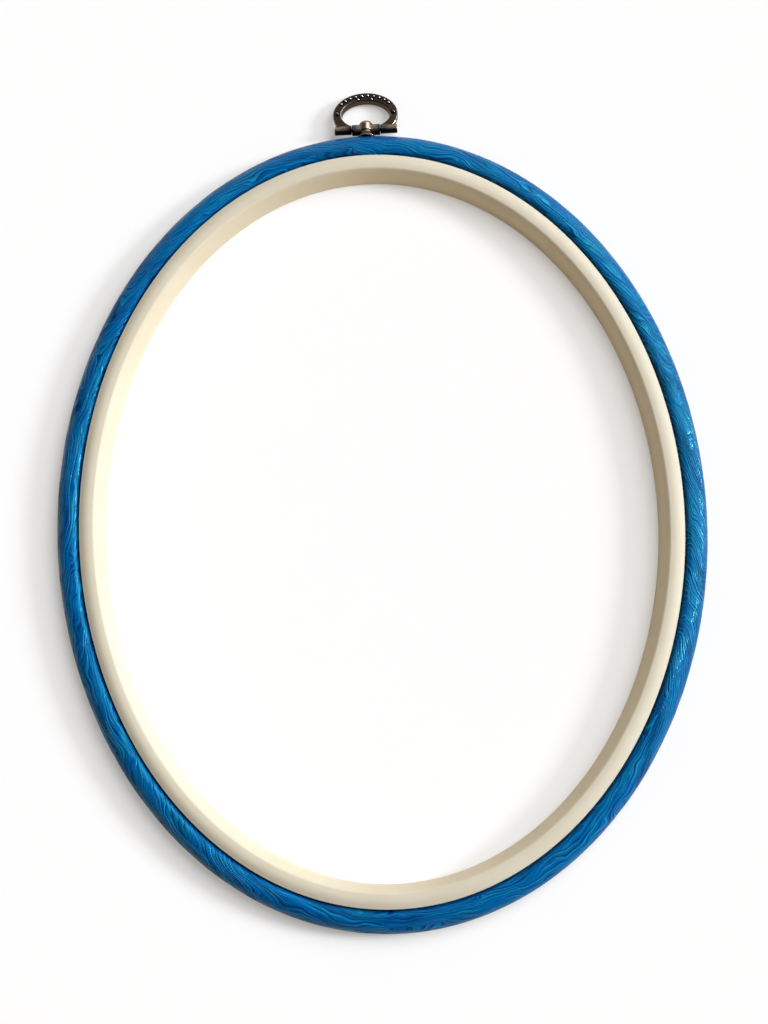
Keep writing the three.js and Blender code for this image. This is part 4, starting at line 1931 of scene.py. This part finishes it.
    def light(self, nodes: Nodes, colour: Any, strength: Any) -> Socket:
        """Make light that comes from all round.

        Args:
            nodes: The world's nodes.
            colour: Its colour.
            strength: Its strength.

        Returns:
            The light.
        """
        node = nodes.add("ShaderNodeBackground")
        nodes.feed(colour, node.inputs["Color"])
        nodes.feed(strength, node.inputs["Strength"])
        return node.outputs[0]

    def build(self, oval: Oval) -> None:
        """Set up the floor, the lights and the camera.

        Args:
            oval: The hoop's oval.
        """
        bpy.context.scene.view_settings.view_transform = "Standard"
        self.floor(oval)
        self.lamp("soft_key", self.soft_azimuth, self.soft_elevation, self.soft_spread, self.soft_level)
        self.lamp("window", self.window_azimuth, self.window_elevation, self.window_spread, self.window_level)
        self.surroundings()
        self.camera(oval)


def hand_over(piece: bpy.types.Object, paint: Paint, body: Body, node: str) -> None:
    """Dress a piece, let it ride and let it stand for its node.

    Args:
        piece: The finished piece.
        paint: Its material.
        body: The body it moves with.
        node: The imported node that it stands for.
    """
    paint.dress(piece)
    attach(piece, body.value)
    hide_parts(node)
    log.info("%s: %d faces, for %s", piece.name, len(piece.data.polygons), node)


def main() -> None:
    """Build both hoops and the hanger, dress them and set up the studio."""
    logging.basicConfig(level=logging.INFO, format="%(message)s")
    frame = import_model()
    inner_low, inner_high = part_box("inner_hoop")
    outer_low, outer_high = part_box("outer_hoop")
    oval = Oval(
        half_width=(inner_high.x - inner_low.x) / 2,
        half_length=(inner_high.y - inner_low.y) / 2,
        middle_y=(inner_high.y + inner_low.y) / 2,
    )
    hinge = next(Vector(joint["pos_m"]) for joint in frame["joints"] if joint["name"] == "bail_swing")

    finishes = (CreamPlastic(), GrainedVinyl(), AgedMetal(), PlatedSteel())
    cream, blue, aged, steel = (finish.paint() for finish in finishes)
    inner = InnerHoop(oval, inner_high.z)
    hand_over(inner.build(), cream, Body.INNER, "inner_hoop")
    reach = outer_high.x - oval.half_width
    axis_rise = hinge.y - oval.middle_y - oval.half_length - reach
    outer = OuterHoop(oval, reach, outer_high.z, hinge, axis_rise)
    hand_over(outer.build(), blue, Body.OUTER, "outer_hoop")
    fit = (hinge, axis_rise / MM, (reach - outer.grip()) / MM)
    for piece, paint, body, slot, node in (
        (Post(*fit).build(), aged, Body.STEM, Slot.AGED_METAL, "hanger_post"),
        (Pin(*fit).build(), aged, Body.STEM, Slot.AGED_METAL, "hinge_pin"),
        (Bail(*fit).build(), aged, Body.BAIL, Slot.AGED_METAL, "hanger_bail"),
        (Screw(*fit).build(), steel, Body.STEM, Slot.BRIGHT_STEEL, "hanger_screw"),
        (Washer(*fit).build(), steel, Body.STEM, Slot.BRIGHT_STEEL, "screw_washer"),
    ):
        if paint is aged:
            store_wear(piece)
        hand_over(piece, paint, body, node)
    Studio().build(oval)


if __name__ == "__main__":
    main()
